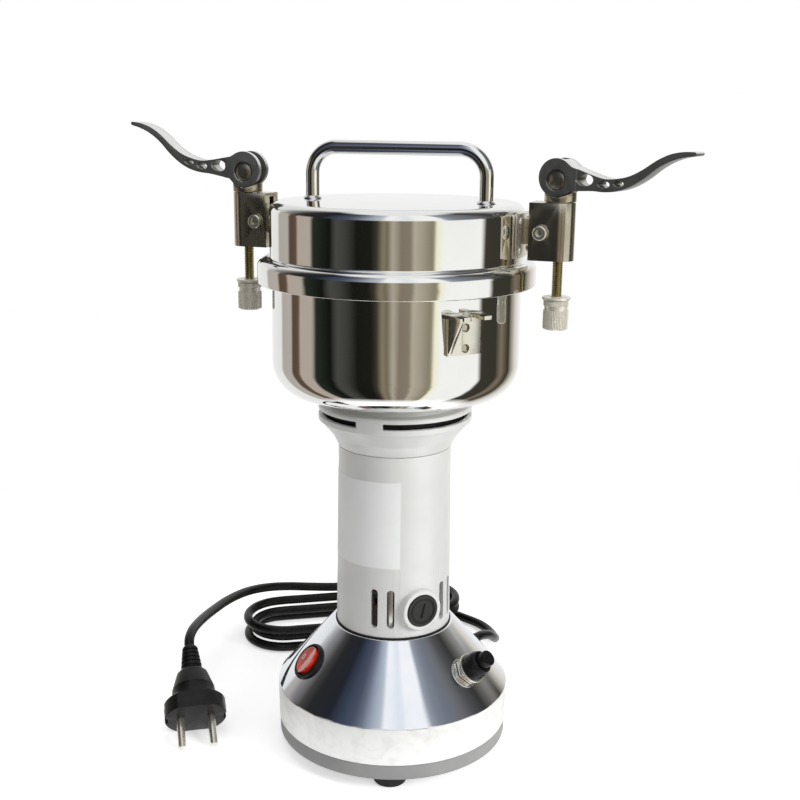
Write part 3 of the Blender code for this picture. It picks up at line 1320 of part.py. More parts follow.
def make_cord():
    spacing = 2.2 * 2 * CORD_RADIUS
    gland_out = outward(GLAND_AZIMUTH, 1.0, 0.0)
    straight = (GLAND_REACH + SEAT_GAP, GLAND_REACH + GLAND_STRAIGHT)
    tail = [gland_out * reach + Vector((0.0, 0.0, GLAND_Z)) for reach in straight]
    tail += [from_front(x * MM, y * MM, z * MM) for x, y, z in TAIL_ROUTE]
    tube("cord_tail", smooth_route(tail, spacing), CORD_RADIUS, "black rubber")
    plug = plug_frame()
    lead = [from_front(x * MM, y * MM, z * MM) for x, y, z in LEAD_ROUTE]
    lead.append(plug @ Vector((0.0, 0.0, PLUG_LENGTH + 5 * MM)))
    lead.append(plug @ Vector((0.0, 0.0, PLUG_LENGTH + SEAT_GAP)))
    tube("cord_lead", smooth_route(lead, spacing), CORD_RADIUS, "black rubber")
    centre = from_front(*HANK_CENTRE, 0.0)
    turn = Matrix.Rotation(math.radians(FRONT_TURN + HANK_TURN), 4, "Z")

    def stadium(radius):
        right = arc((HANK_RUN / 2, 0.0), (radius, radius), -90.0, 90.0, 10)
        left = arc((-HANK_RUN / 2, 0.0), (radius, radius), 90.0, 270.0, 10)
        return right + left

    flat(
        "cord_hank", [stadium(HANK_RADIUS), stadium(HANK_RADIUS - HANK_BUNDLE)], SEAT_GAP, SEAT_GAP + HANK_HEIGHT,
        "black rubber", at(centre) @ turn,
    )


def make_plug():
    place = plug_frame()
    body = turned(
        "plug_body",
        [
            (0.0, PLUG_LENGTH),
            (4.6 * MM, PLUG_LENGTH),
            (6.4 * MM, PLUG_LENGTH - 16 * MM),
            (9.6 * MM, PLUG_LENGTH - 20 * MM),
            (13.2 * MM, PLUG_LENGTH - 31 * MM),
            (13.8 * MM, PLUG_DISC_THICKNESS),
            (PLUG_DISC_RADIUS - 1.5 * MM, PLUG_DISC_THICKNESS),
            (PLUG_DISC_RADIUS, PLUG_DISC_THICKNESS - 1.5 * MM),
            (PLUG_DISC_RADIUS, 0.0),
            (0.0, 0.0),
        ],
        "black plastic",
        place,
        steps=MIDDLE_STEPS,
        ring=False,
    )
    for i, side in enumerate((1, -1)):
        flat_side = box(
            f"cut_plug_flat_{i}", (50 * MM, 8 * MM, 2 * PLUG_DISC_THICKNESS + 2 * MM), place=place,
            offset=(0.0, side * (PLUG_DISC_HALF_HEIGHT + 4 * MM), 0.0),
        )
        cut(body, flat_side)
        turned(
            f"plug_pin_{i + 1}",
            [
                (0.0, -SEAT_GAP),
                (PIN_RADIUS, -SEAT_GAP),
                (PIN_RADIUS, 1.2 * MM - SEAT_GAP - PIN_LENGTH),
                (PIN_RADIUS - 1.2 * MM, -SEAT_GAP - PIN_LENGTH),
                (0.0, -SEAT_GAP - PIN_LENGTH),
            ],
            "satin nickel",
            place @ Matrix.Translation((side * PIN_PITCH / 2, 0.0, 0.0)),
            steps=SMALL_STEPS,
            ring=False,
        )


make_base()
make_switch()
make_breaker()
make_housing()
make_neck()
make_motor()
make_bowl()
make_blades()
make_lid()
for clamp_name, clamp_side in SIDES.items():
    make_clamp(clamp_name, clamp_side)
make_gland()
make_cord()
make_plug()
for piece in GRINDER.objects:
    if piece.type == "MESH" and piece.data.polygons:
        smooth(piece)
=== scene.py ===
"""Looks of the small electric swing grinder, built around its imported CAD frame.

Shapes are made in millimetres and scaled to metres when a piece is finished. Azimuths are in degrees,
from -Y towards +X; the lid clamps lie on the X axis.
"""

import math

import bmesh
import bpy
from mathutils import Matrix, Vector


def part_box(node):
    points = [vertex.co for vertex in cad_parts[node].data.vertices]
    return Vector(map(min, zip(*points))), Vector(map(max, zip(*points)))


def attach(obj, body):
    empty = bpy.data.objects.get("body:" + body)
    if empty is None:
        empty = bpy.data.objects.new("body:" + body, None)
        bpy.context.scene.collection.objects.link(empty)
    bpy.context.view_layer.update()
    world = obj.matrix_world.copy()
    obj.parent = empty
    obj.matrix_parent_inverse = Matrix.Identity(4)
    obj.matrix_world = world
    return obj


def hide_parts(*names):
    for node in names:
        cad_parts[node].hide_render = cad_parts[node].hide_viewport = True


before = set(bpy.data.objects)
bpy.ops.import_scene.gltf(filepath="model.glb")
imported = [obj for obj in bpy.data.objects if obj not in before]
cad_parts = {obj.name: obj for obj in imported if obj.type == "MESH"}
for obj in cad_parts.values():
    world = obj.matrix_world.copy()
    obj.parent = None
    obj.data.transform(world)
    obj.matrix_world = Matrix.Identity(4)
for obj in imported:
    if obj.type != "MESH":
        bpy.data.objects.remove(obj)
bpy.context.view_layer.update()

MM = 0.001
FRONT_TURN = 19.0              # azimuth of the side that the camera faces
SIDES = {"right": 1, "left": -1}
HALF_TURNS = (0.0, 180.0)
ALONG_Y = Vector((0.0, 1.0, 0.0))
ROUND = 160                    # steps of the large turned pieces
SMALL_ROUND = 64               # and of the small ones
BUMP_DEPTH = 0.0002
SHARP = 40.0                   # degrees between two faces from which their edge is bevelled


def box_mm(node):
    low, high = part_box(node)
    return low / MM, high / MM


def middle(node):
    low, high = box_mm(node)
    return (low + high) / 2


def outward(azimuth, radius, z=0.0):
    angle = math.radians(azimuth)
    return Vector((radius * math.sin(angle), -radius * math.cos(angle), z))


def from_front(right, back, up):
    """A point given as seen from the side that the switch and the breaker face."""
    turn = math.radians(FRONT_TURN)
    return Vector((
        right * math.cos(turn) - back * math.sin(turn),
        right * math.sin(turn) + back * math.cos(turn),
        up,
    ))


def at(point, turn=None):
    place = Matrix.Translation(point)
    return place @ turn.to_4x4() if turn is not None else place


def along(direction):
    """The rotation that turns +Z along a direction, and +Y as near as it can to upwards."""
    z_axis = Vector(direction).normalized()
    x_axis = Vector((0.0, 0.0, 1.0)).cross(z_axis).normalized()
    y_axis = z_axis.cross(x_axis)
    return Matrix((x_axis, y_axis, z_axis)).transposed()


def spin_z(degrees):
    return Matrix.Rotation(math.radians(degrees), 4, "Z")


# ---- Camera -------------------------------------------------------------------------------------
def make_camera():
    distance, height, pitch, roll = 676.0, 376.0, 13.5, 0.58
    data = bpy.data.cameras.new("camera")
    data.sensor_width = 36.0
    data.lens = 53.5
    data.shift_x = 0.0059
    data.clip_start = 0.01
    camera = bpy.data.objects.new("camera", data)
    bpy.context.scene.collection.objects.link(camera)
    turn = spin_z(FRONT_TURN) @ Matrix.Rotation(math.radians(90.0 - pitch), 4, "X")
    camera.matrix_world = (
        at(from_front(0.0, -distance, height) * MM) @ turn @ Matrix.Rotation(math.radians(roll), 4, "Z")
    )
    bpy.context.scene.camera = camera


# ---- Node helpers -------------------------------------------------------------------------------
def is_socket(value):
    return isinstance(value, bpy.types.NodeSocket)


def add(tree, kind, inputs=None, **settings):
    """A node with its settings, and each input linked from a socket or set to a value."""
    node = tree.nodes.new(kind)
    for key, value in settings.items():
        setattr(node, key, value)
    for key, value in (inputs or {}).items():
        if is_socket(value):
            tree.links.new(value, node.inputs[key])
        else:
            node.inputs[key].default_value = value
    return node


def math_node(tree, operation, first, second=0.0, third=0.0):
    return add(tree, "ShaderNodeMath", {0: first, 1: second, 2: third}, operation=operation).outputs[0]


def remap(tree, value, low, high, to_low=0.0, to_high=1.0, **settings):
    ends = {"From Min": low, "From Max": high, "To Min": to_low, "To Max": to_high}
    return add(tree, "ShaderNodeMapRange", {"Value": value, **ends}, **settings).outputs["Result"]


def mix_colour(tree, factor, first, second):
    """Mixes two colours, each a socket or three numbers. The inputs of this node share their names."""
    first, second = (colour if is_socket(colour) else (*colour, 1.0) for colour in (first, second))
    return add(tree, "ShaderNodeMix", {0: factor, 6: first, 7: second}, data_type="RGBA").outputs[2]


def mix_shader(tree, factor, first, second):
    return add(tree, "ShaderNodeMixShader", {0: factor, 1: first, 2: second}).outputs[0]


def colour_ramp(tree, value, stops):
    ramp = add(tree, "ShaderNodeValToRGB", {"Fac": value})
    elements = ramp.color_ramp.elements
    for i, (position, colour) in enumerate(stops):
        element = elements[i] if i < 2 else elements.new(position)
        element.position = position
        element.color = (*colour, 1.0)
    return ramp.outputs["Color"]


def noise(tree, place, scale, detail, **inputs):
    inputs = {"Vector": place, "Scale": scale, "Detail": detail, **inputs}
    return add(tree, "ShaderNodeTexNoise", inputs).outputs["Fac"]


def background(tree, colour, strength):
    return add(tree, "ShaderNodeBackground", {"Color": colour, "Strength": strength}).outputs[0]


def new_group(name, inputs, outputs):
    """An empty shader node group: inputs are floats with defaults, outputs floats, and Vector comes in."""
    group = bpy.data.node_groups.new(name, "ShaderNodeTree")
    group.interface.new_socket("Vector", in_out="INPUT", socket_type="NodeSocketVector")
    for socket, default in inputs.items():
        item = group.interface.new_socket(socket, in_out="INPUT", socket_type="NodeSocketFloat")
        item.default_value = default
    for socket in outputs:
        group.interface.new_socket(socket, in_out="OUTPUT", socket_type="NodeSocketFloat")
    entry = group.nodes.new("NodeGroupInput").outputs
    leave = group.nodes.new("NodeGroupOutput").inputs
    return group, entry, leave


def make_handling_group():
    """Finger smudges and wiped patches: a soft cloudy mask with a few sharper prints in it."""
    group, entry, leave = new_group("handling", {"Scale": 20.0, "Reach": 0.5}, ["Mask"])
    cloud = noise(group, entry["Vector"], entry["Scale"], 4.0, Roughness=0.62, Distortion=0.6)
    dabs = noise(group, entry["Vector"], math_node(group, "MULTIPLY", entry["Scale"], 3.1), 2.0)
    both = math_node(group, "MULTIPLY_ADD", dabs, 0.35, cloud)
    low = math_node(group, "SUBTRACT", 1.05, entry["Reach"])
    group.links.new(remap(group, both, low, 1.0), leave["Mask"])
    return group


def make_turning_group():
    """Fine rings left by spinning or polishing about the upright axis through the pattern's origin."""
    group, entry, leave = new_group("turning_rings", {"Scale": 900.0}, ["Height"])
    parts = add(group, "ShaderNodeSeparateXYZ", {"Vector": entry["Vector"]}).outputs
    across = math_node(group, "MULTIPLY", parts["X"], parts["X"])
    radius = math_node(group, "SQRT", math_node(group, "MULTIPLY_ADD", parts["Y"], parts["Y"], across))
    place = math_node(group, "ADD", radius, parts["Z"])
    rings = add(group, "ShaderNodeTexNoise", {"W": place, "Scale": entry["Scale"], "Detail": 3.0,
                                              "Roughness": 0.7}, noise_dimensions="1D")
    group.links.new(rings.outputs["Fac"], leave["Height"])
    return group


def make_grain_group():
    """The small even texture of moulded plastic, rubber or paint."""
    group, entry, leave = new_group("grain", {"Scale": 1500.0}, ["Height"])
    group.links.new(noise(group, entry["Vector"], entry["Scale"], 3.0), leave["Height"])
    return group


HANDLING = make_handling_group()
TURNING = make_turning_group()
GRAIN = make_grain_group()


def use_group(tree, group, inputs):
    return add(tree, "ShaderNodeGroup", inputs, node_tree=group).outputs[0]


MATERIALS = {}


def start_material(name, **constants):
    """A new material in MATERIALS: its tree, its shader with constants set, and Object coordinates."""
    material = MATERIALS[name] = bpy.data.materials.new(name)
    material.use_nodes = True
    tree = material.node_tree
    shader = tree.nodes["Principled BSDF"]
    for key, value in constants.items():
        shader.inputs[key.replace("_", " ")].default_value = value
    return tree, shader, add(tree, "ShaderNodeTexCoord").outputs["Object"]


def add_bump(tree, shader, height, strength):
    bump = add(tree, "ShaderNodeBump", {"Height": height, "Strength": strength, "Distance": BUMP_DEPTH})
    tree.links.new(bump.outputs["Normal"], shader.inputs["Normal"])


def finish(name, colour, worn, roughness, worn_roughness, metallic=0.0, handling=18.0, reach=0.5,
           grain=1500.0, bump=0.15, turning=None, **constants):
    """A finish whose colour and roughness drift to their worn values in smudges, with a fine surface."""
    tree, shader, place = start_material(name, Metallic=metallic, **constants)
    mask = use_group(tree, HANDLING, {"Vector": place, "Scale": handling, "Reach": reach})
    tree.links.new(mix_colour(tree, mask, colour, worn), shader.inputs["Base Color"])
    tree.links.new(remap(tree, mask, 0.0, 1.0, roughness, worn_roughness), shader.inputs["Roughness"])
    group, scale = (TURNING, turning) if turning else (GRAIN, grain)
    add_bump(tree, shader, use_group(tree, group, {"Vector": place, "Scale": scale}), bump)


def make_base_finish(rim_z):
    """Polished cone with a bluish cast, and a scuffed satin ring whose upper edge wanders a little."""
    tree, shader, place = start_material("base_aluminium", Metallic=1.0)
    height = add(tree, "ShaderNodeSeparateXYZ", {"Vector": place}).outputs["Z"]
    wander = noise(tree, place, 55.0, 3.0)
    edge = math_node(tree, "MULTIPLY_ADD", wander, 0.0022, math_node(tree, "SUBTRACT", height, 0.0011))
    satin = remap(tree, edge, (rim_z + 0.3) * MM, (rim_z - 0.5) * MM)
    smudge = use_group(tree, HANDLING, {"Vector": place, "Scale": 26.0, "Reach": 0.5})
    scuff = use_group(tree, HANDLING, {"Vector": place, "Scale": 70.0, "Reach": 0.42})
    cone = mix_colour(tree, smudge, (0.88, 0.90, 0.94), (0.80, 0.83, 0.89))
    ring = mix_colour(tree, scuff, (0.90, 0.90, 0.89), (0.70, 0.69, 0.67))
    tree.links.new(mix_colour(tree, satin, cone, ring), shader.inputs["Base Color"])
    cone_rough = remap(tree, smudge, 0.0, 1.0, 0.03, 0.11)
    ring_rough = remap(tree, scuff, 0.0, 1.0, 0.52, 0.40)
    difference = math_node(tree, "SUBTRACT", ring_rough, cone_rough)
    rough = math_node(tree, "MULTIPLY_ADD", difference, satin, cone_rough)
    tree.links.new(rough, shader.inputs["Roughness"])
    tree.links.new(remap(tree, satin, 0.0, 1.0, 1.0, 0.55), shader.inputs["Metallic"])
    add_bump(tree, shader, use_group(tree, TURNING, {"Vector": place, "Scale": 700.0}), 0.05)


def make_lens_finish():
    """Red translucent plastic with a faint painted glow, and random patches painted paler as pooled light."""
    tree, shader, place = start_material(
        "red_lens", Roughness=0.16, Coat_Weight=0.6, Coat_Roughness=0.05, Emission_Strength=0.12)
    cloud = noise(tree, place, 160.0, 2.0)
    tint_and_glow = mix_colour(tree, remap(tree, cloud, 0.4, 0.65), (0.38, 0.010, 0.006), (0.62, 0.045, 0.018))
    tree.links.new(tint_and_glow, shader.inputs["Base Color"])
    # The lens colour also feeds the emission: a painted glow, not a lamp.
    tree.links.new(tint_and_glow, shader.inputs["Emission Color"])
    add_bump(tree, shader, cloud, 0.04)


def make_lever_finish():
    """Dark polished casting whose narrow top and bottom edges are slightly worn bright, the upward ones with a
    painted highlight.
    """
    tree, shader, place = start_material("lever_gunmetal", Metallic=0.55)
    # Per-face mask: faint wear on every edge, raised into a painted highlight as an edge faces upwards.
    edge_highlight_mask = add(tree, "ShaderNodeAttribute", attribute_name="edge_wear_and_highlight").outputs["Fac"]
    smudge = use_group(tree, HANDLING, {"Vector": place, "Scale": 90.0, "Reach": 0.5})
    dark = mix_colour(tree, smudge, (0.125, 0.125, 0.123), (0.17, 0.17, 0.165))
    tree.links.new(mix_colour(tree, edge_highlight_mask, dark, (0.70, 0.695, 0.68)), shader.inputs["Base Color"])
    tree.links.new(remap(tree, edge_highlight_mask, 0.0, 1.0, 0.36, 0.24), shader.inputs["Roughness"])
    add_bump(tree, shader, use_group(tree, GRAIN, {"Vector": place, "Scale": 1200.0}), 0.08)


finish("polished_steel", (0.88, 0.88, 0.87), (0.82, 0.82, 0.81), 0.025, 0.075, 1.0, handling=16.0,
       reach=0.46, turning=500.0, bump=0.018)
finish("drawn_steel", (0.74, 0.74, 0.73), (0.64, 0.64, 0.63), 0.16, 0.26, 1.0, handling=40.0, bump=0.05)
finish("ear_steel", (0.80, 0.78, 0.68), (0.70, 0.67, 0.56), 0.16, 0.28, 1.0, handling=40.0, bump=0.05)
finish("silver_paint", (0.72, 0.725, 0.71), (0.66, 0.665, 0.65), 0.34, 0.44, 0.12, handling=22.0,
       grain=2600.0, bump=0.10, Coat_Weight=0.15, Coat_Roughness=0.3)
finish("grey_plate", (0.27, 0.27, 0.268), (0.33, 0.33, 0.325), 0.55, 0.65, handling=30.0, reach=0.55,
       grain=1800.0)
finish("black_rubber", (0.012, 0.012, 0.012), (0.026, 0.026, 0.025), 0.62, 0.75, handling=60.0,
       grain=2200.0, bump=0.3, Specular_IOR_Level=0.3)
finish("cord_jacket", (0.005, 0.005, 0.005), (0.012, 0.012, 0.011), 0.24, 0.36, handling=35.0,
       grain=1600.0, bump=0.08, Specular_IOR_Level=0.22)
finish("black_plastic", (0.006, 0.006, 0.006), (0.014, 0.014, 0.014), 0.26, 0.40, handling=60.0,
       grain=2400.0, bump=0.16, Specular_IOR_Level=0.2)
finish("cap_plastic", (0.022, 0.023, 0.021), (0.034, 0.035, 0.032), 0.42, 0.5, handling=60.0, grain=2400.0,
       bump=0.16, Specular_IOR_Level=0.3)
make_lens_finish()
finish("copper", (0.62, 0.25, 0.10), (0.45, 0.17, 0.07), 0.32, 0.45, 1.0, handling=120.0, turning=2600.0,
       bump=0.6)
finish("carbon", (0.04, 0.04, 0.04), (0.07, 0.07, 0.07), 0.55, 0.7, handling=200.0)
finish("lamination", (0.25, 0.25, 0.26), (0.18, 0.16, 0.15), 0.45, 0.6, 1.0, handling=80.0, turning=2400.0,
       bump=0.5)
finish("bearing_steel", (0.66, 0.66, 0.66), (0.58, 0.58, 0.57), 0.18, 0.3, 1.0, handling=120.0,
       turning=1500.0, bump=0.05)
finish("blade_steel", (0.70, 0.70, 0.70), (0.60, 0.60, 0.60), 0.22, 0.36, 1.0, handling=60.0,
       turning=1200.0, bump=0.12)
finish("smoked_nickel", (0.52, 0.48, 0.39), (0.42, 0.39, 0.31), 0.11, 0.22, 0.95, handling=70.0, reach=0.5,
       grain=900.0, bump=0.06)
finish("bronze", (0.50, 0.44, 0.34), (0.36, 0.31, 0.24), 0.26, 0.4, 1.0, handling=120.0, turning=1600.0,
       bump=0.1)
finish("pin_bronze", (0.24, 0.22, 0.18), (0.34, 0.32, 0.27), 0.26, 0.36, 0.9, handling=140.0, grain=1200.0,
       bump=0.05)
finish("yellow_zinc", (0.52, 0.43, 0.20), (0.40, 0.40, 0.24), 0.3, 0.42, 1.0, handling=150.0, reach=0.6,
       grain=1500.0, bump=0.08)
finish("satin_nickel", (0.82, 0.79, 0.70), (0.70, 0.67, 0.58), 0.22, 0.34, 0.9, handling=90.0,
       grain=1400.0, bump=0.06)
finish("bright_nickel", (0.84, 0.82, 0.73), (0.72, 0.70, 0.61), 0.26, 0.38, 0.5, handling=120.0,
       grain=1400.0, bump=0.05)
make_lever_finish()
finish("clear_silicone", (0.80, 0.79, 0.75), (0.70, 0.69, 0.65), 0.35, 0.5, handling=60.0, grain=1200.0,
       bump=0.08, Subsurface_Weight=0.2)
finish("blank_label", (0.80, 0.81, 0.80), (0.76, 0.77, 0.76), 0.42, 0.5, handling=30.0, grain=1800.0,
       bump=0.05)
finish("mark_white", (0.85, 0.80, 0.78), (0.75, 0.68, 0.66), 0.4, 0.5, handling=80.0)


# ---- Shape helpers, in millimetres --------------------------------------------------------------
def filleted(corners, steps=5):
    """Corners of (across, up) or (across, up, fillet) as points, with each fillet as an arc."""
    points = []
    for i, corner in enumerate(corners):
        here = Vector(corner[:2])
        if len(corner) < 3:
            points.append(here)
            continue
        fillet = corner[2]
        back = (Vector(corners[i - 1][:2]) - here).normalized()
        ahead = (Vector(corners[(i + 1) % len(corners)][:2]) - here).normalized()
        half = back.angle(ahead) / 2
        centre = here + (back + ahead).normalized() * fillet / math.sin(half)
        start = (here + back * fillet / math.tan(half) - centre).normalized()
        end = (here + ahead * fillet / math.tan(half) - centre).normalized()
        points += [centre + start.slerp(end, k / steps) * fillet for k in range(steps + 1)]
    return points


def arc(centre, radii, start, end, steps):
    points = []
    for i in range(steps + 1):
        angle = math.radians(start + (end - start) * i / steps)
        along_x, along_y = radii[0] * math.cos(angle), radii[1] * math.sin(angle)
        points.append(Vector((centre[0] + along_x, centre[1] + along_y)))
    return points


def turned(profile, steps=SMALL_ROUND, closed=True):
    """A profile of (radius, z) spun about Z: a closed one is a ring, an open one ends on the axis."""
    shape = bmesh.new()
    verts = [shape.verts.new((point[0], 0.0, point[1])) for point in profile]
    edges = [shape.edges.new(pair) for pair in zip(verts, verts[1:])]
    if closed:
        edges.append(shape.edges.new((verts[-1], verts[0])))
    bmesh.ops.spin(shape, geom=verts + edges, cent=(0, 0, 0), axis=(0, 0, 1), angle=math.tau, steps=steps,
                   use_merge=True)
    tidy(shape)
    return shape


def lathe(corners, rounding=5, steps=SMALL_ROUND, closed=True):
    """Corners as filleted takes them, spun about Z."""
    return turned(filleted(corners, rounding), steps, closed)


def tidy(shape):
    bmesh.ops.remove_doubles(shape, verts=shape.verts, dist=0.0004)
    bmesh.ops.dissolve_degenerate(shape, edges=shape.edges, dist=0.0002)
    bmesh.ops.recalc_face_normals(shape, faces=shape.faces)


def soften(shape, width, segments):
    """Bevels every sharp edge."""
    limit = math.radians(SHARP)
    edges = [edge for edge in shape.edges if edge.is_manifold and edge.calc_face_angle(0.0) > limit]
    bmesh.ops.bevel(shape, geom=edges, offset=width, offset_type="OFFSET", segments=segments, profile=0.5,
                    affect="EDGES", material=-1, clamp_overlap=True)


def plate(outline, low, high):
    """A flat outline raised from one height to another."""
    shape = bmesh.new()
    face = shape.faces.new([shape.verts.new((x, y, low)) for x, y in outline])
    raised = [v for v in bmesh.ops.extrude_face_region(shape, geom=[face])["geom"]
              if isinstance(v, bmesh.types.BMVert)]
    bmesh.ops.translate(shape, vec=(0, 0, high - low), verts=raised)
    bmesh.ops.recalc_face_normals(shape, faces=shape.faces)
    return shape


def block(size, centre=(0, 0, 0), edge=0.0, segments=2):
    shape = bmesh.new()
    bmesh.ops.create_cube(shape, size=1.0)
    bmesh.ops.scale(shape, vec=size, verts=shape.verts)
    bmesh.ops.translate(shape, vec=centre, verts=shape.verts)
    if edge:
        soften(shape, edge, segments)
    return shape


def post(radius, low, high, steps=SMALL_ROUND):
    return turned([(0, low), (radius, low), (radius, high), (0, high)], steps, closed=False)


def moved(shape, place):
    bmesh.ops.transform(shape, matrix=place, verts=shape.verts)
    return shape


def bore(place, radius, low, high, steps=SMALL_ROUND):
    """A round cutter along a place's own Z."""
    return moved(post(radius, low, high, steps), place)


def turned_plate(outline, start, sweep, steps):
    """An upright outline of (radius, z) swept about Z by some degrees, from a starting azimuth."""
    shape = bmesh.new()
    face = shape.faces.new([shape.verts.new(outward(start, radius, z)) for radius, z in outline])
    bmesh.ops.spin(shape, geom=[face], cent=(0, 0, 0), axis=(0, 0, 1), angle=math.radians(sweep),
                   steps=steps)
    tidy(shape)
    return shape


def added(shape, *others):
    """Other shapes' meshes put into this one."""
    for other in others:
        mesh = bpy.data.meshes.new("part")
        other.to_mesh(mesh)
        other.free()
        shape.from_mesh(mesh)
        bpy.data.meshes.remove(mesh)
    return shape


def link_mesh(name, shape):
    bmesh.ops.scale(shape, vec=(MM, MM, MM), verts=shape.verts)
    mesh = bpy.data.meshes.new(name)
    shape.to_mesh(mesh)
    shape.free()
    obj = bpy.data.objects.new(name, mesh)
    bpy.context.scene.collection.objects.link(obj)
    return obj


def settle(obj):
    """Applies an object's modifiers to its mesh."""
    bpy.context.view_layer.update()
    graph = bpy.context.evaluated_depsgraph_get()
    mesh = bpy.data.meshes.new_from_object(obj.evaluated_get(graph))
    old = obj.data
    obj.modifiers.clear()
    obj.data = mesh
    bpy.data.meshes.remove(old)


def piece(name, shape, finish_name, body, replaces=(), place=None, cuts=(), joins=(), edge=0.0, sharp=32.0):
    """A finished piece: placed, cut, joined, softened, shaded, coloured, and riding on its body."""
    if place:
        moved(shape, place)
    obj = link_mesh(name, shape)
    helpers = []
    for operation, others in (("UNION", joins), ("DIFFERENCE", cuts)):
        for other in others:
            helper = link_mesh("helper", other)
            step = obj.modifiers.new("step", "BOOLEAN")
            step.operation = operation
            step.object = helper
            helpers.append(helper)
    if edge:
        bevel = obj.modifiers.new("edge", "BEVEL")
        bevel.width = edge * MM
        bevel.segments = 2
        bevel.limit_method = "ANGLE"
        bevel.angle_limit = math.radians(SHARP)
    if obj.modifiers:
        settle(obj)
    for helper in helpers:
        mesh = helper.data
        bpy.data.objects.remove(helper)
        bpy.data.meshes.remove(mesh)
    obj.data.shade_smooth()
    obj.data.set_sharp_from_angle(angle=math.radians(sharp))
    obj.data.materials.clear()
    obj.data.materials.append(MATERIALS[finish_name])
    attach(obj, body)
    if replaces:
        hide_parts(*replaces)
    return obj


# ---- Sizes, in millimetres and degrees ----------------------------------------------------------
BASE_LOW, BASE_HIGH = box_mm("base_shell")
BASE_RADIUS = BASE_HIGH.x
DECK_Z = BASE_HIGH.z
RIM_Z = 39.7                   # where the cone meets the upright ring
CABLE_WAY = 12.0               # radius of the hole in the deck
HOUSING_LOW, HOUSING_HIGH = box_mm("motor_housing")
HOUSING_FOOT = 34.3            # outside radii of the column
HOUSING_TOP = 33.0
COLUMN_WALL = 2.7
SHAFT_HOLE = 5.5               # radii round the shaft, in the column, the neck and the bowl
BEARING_POCKET = 11.3
BEARING_CUP = 14.1
VENT_Z = 96.5
VENT_OFFSETS = (-46.0, -29.5, 29.5, 46.0)    # degrees from a brush cap
STEEL = 1.6                    # thickness of the bowl's and the lid's sheet
DECK_RADIUS = HOUSING_FOOT + 1.9
CONE_DROP = Vector((BASE_RADIUS - DECK_RADIUS, RIM_Z - DECK_Z))
CONE_NORMAL = Vector((-CONE_DROP.y, CONE_DROP.x)).normalized()
CONE_FRACTION = 0.535          # how far down the cone the switch and the breaker sit
SWITCH_AZIMUTH = -47.5
BREAKER_AZIMUTH = 73.0
BRUSH_AZIMUTH = 46.0
LUG_AZIMUTH = 49.0
GLAND_AZIMUTH = 164.0
NECK_LOW, NECK_HIGH = box_mm("neck_flange")
BOWL_LOW, BOWL_HIGH = box_mm("bowl")
LID_LOW, LID_HIGH = box_mm("lid")
BOWL_RADIUS = 71.0
LID_RADIUS = 72.0
ROD_REACH = middle("clamp_rod_right").x
PIVOT_REACH = middle("pivot_bolt_right").x
PIVOT_Z = middle("pivot_bolt_right").z
CAM_PIN_Z = middle("cam_pin_right").z
LEVER_TURN = {"right": 0.0, "left": 8.5}         # degrees up about the cam pin
LEVER_SWIVEL = {"right": -16.0, "left": 0.0}     # degrees about the clamp rod


def on_cone(azimuth):
    """The place on the cone's surface with +Z along its normal and +Y up the slope."""
    outside = outward(azimuth, 1.0)
    normal = outside * CONE_NORMAL.x + Vector((0.0, 0.0, CONE_NORMAL.y))
    radius = DECK_RADIUS + CONE_DROP.x * CONE_FRACTION
    return at(outward(azimuth, radius, DECK_Z + CONE_DROP.y * CONE_FRACTION), along(normal))


def facing(azimuth, z):
    """The place on the upright axis with +Z pointing outwards at this azimuth."""
    return at(Vector((0.0, 0.0, z)), along(outward(azimuth, 1.0)))


# ---- Base ---------------------------------------------------------------------------------------
def make_base():
    low = BASE_LOW.z
    wall = 2.2
    make_base_finish(RIM_Z)
    shell = lathe([
        (DECK_RADIUS, DECK_Z, 0.8),
        (BASE_RADIUS, RIM_Z, 1.6),
        (BASE_RADIUS - 0.4, low, 0.6),
        (BASE_RADIUS - 0.4 - wall, low),
        (BASE_RADIUS - wall, RIM_Z - 1.0),
        (DECK_RADIUS - 2.0, DECK_Z - wall),
        (CABLE_WAY, DECK_Z - wall),
        (CABLE_WAY, DECK_Z),
    ], 5, ROUND * 2)
    holes = [
        bore(facing(GLAND_AZIMUTH, GLAND_Z), 5.2, BASE_RADIUS - 9.0, BASE_RADIUS + 9.0),
        bore(on_cone(SWITCH_AZIMUTH), 10.3, -9.0, 6.0),
        bore(on_cone(BREAKER_AZIMUTH), 5.4, -9.0, 6.0),
    ]
    piece("base_cover", shell, "base_aluminium", "base", ["base_shell"], cuts=holes)
    make_bottom_plate()
    for number in range(1, 5):
        make_foot(number)
    inner, outer = HOUSING_FOOT - 1.5, HOUSING_FOOT + 0.7
    gasket = lathe([
        (inner, DECK_Z - 0.2), (outer, DECK_Z - 0.2, 0.2), (outer, DECK_Z + 0.9, 0.3), (inner, DECK_Z + 0.9),
    ], 5, ROUND)
    piece("housing_gasket", gasket, "black_rubber", "base")


def make_bottom_plate():
    low, high = box_mm("base_plate")
    radius = high.x
    rim = radius - 3.0
    floor_z = low.z + 2.6
    under = lathe([
        (0.0, floor_z), (rim, floor_z, 1.0), (rim, high.z), (radius, high.z, 0.3), (radius, low.z, 1.5),
        (0.0, low.z),
    ], 5, ROUND, closed=False)
    piece("bottom_plate", under, "grey_plate", "base", ["base_plate"])


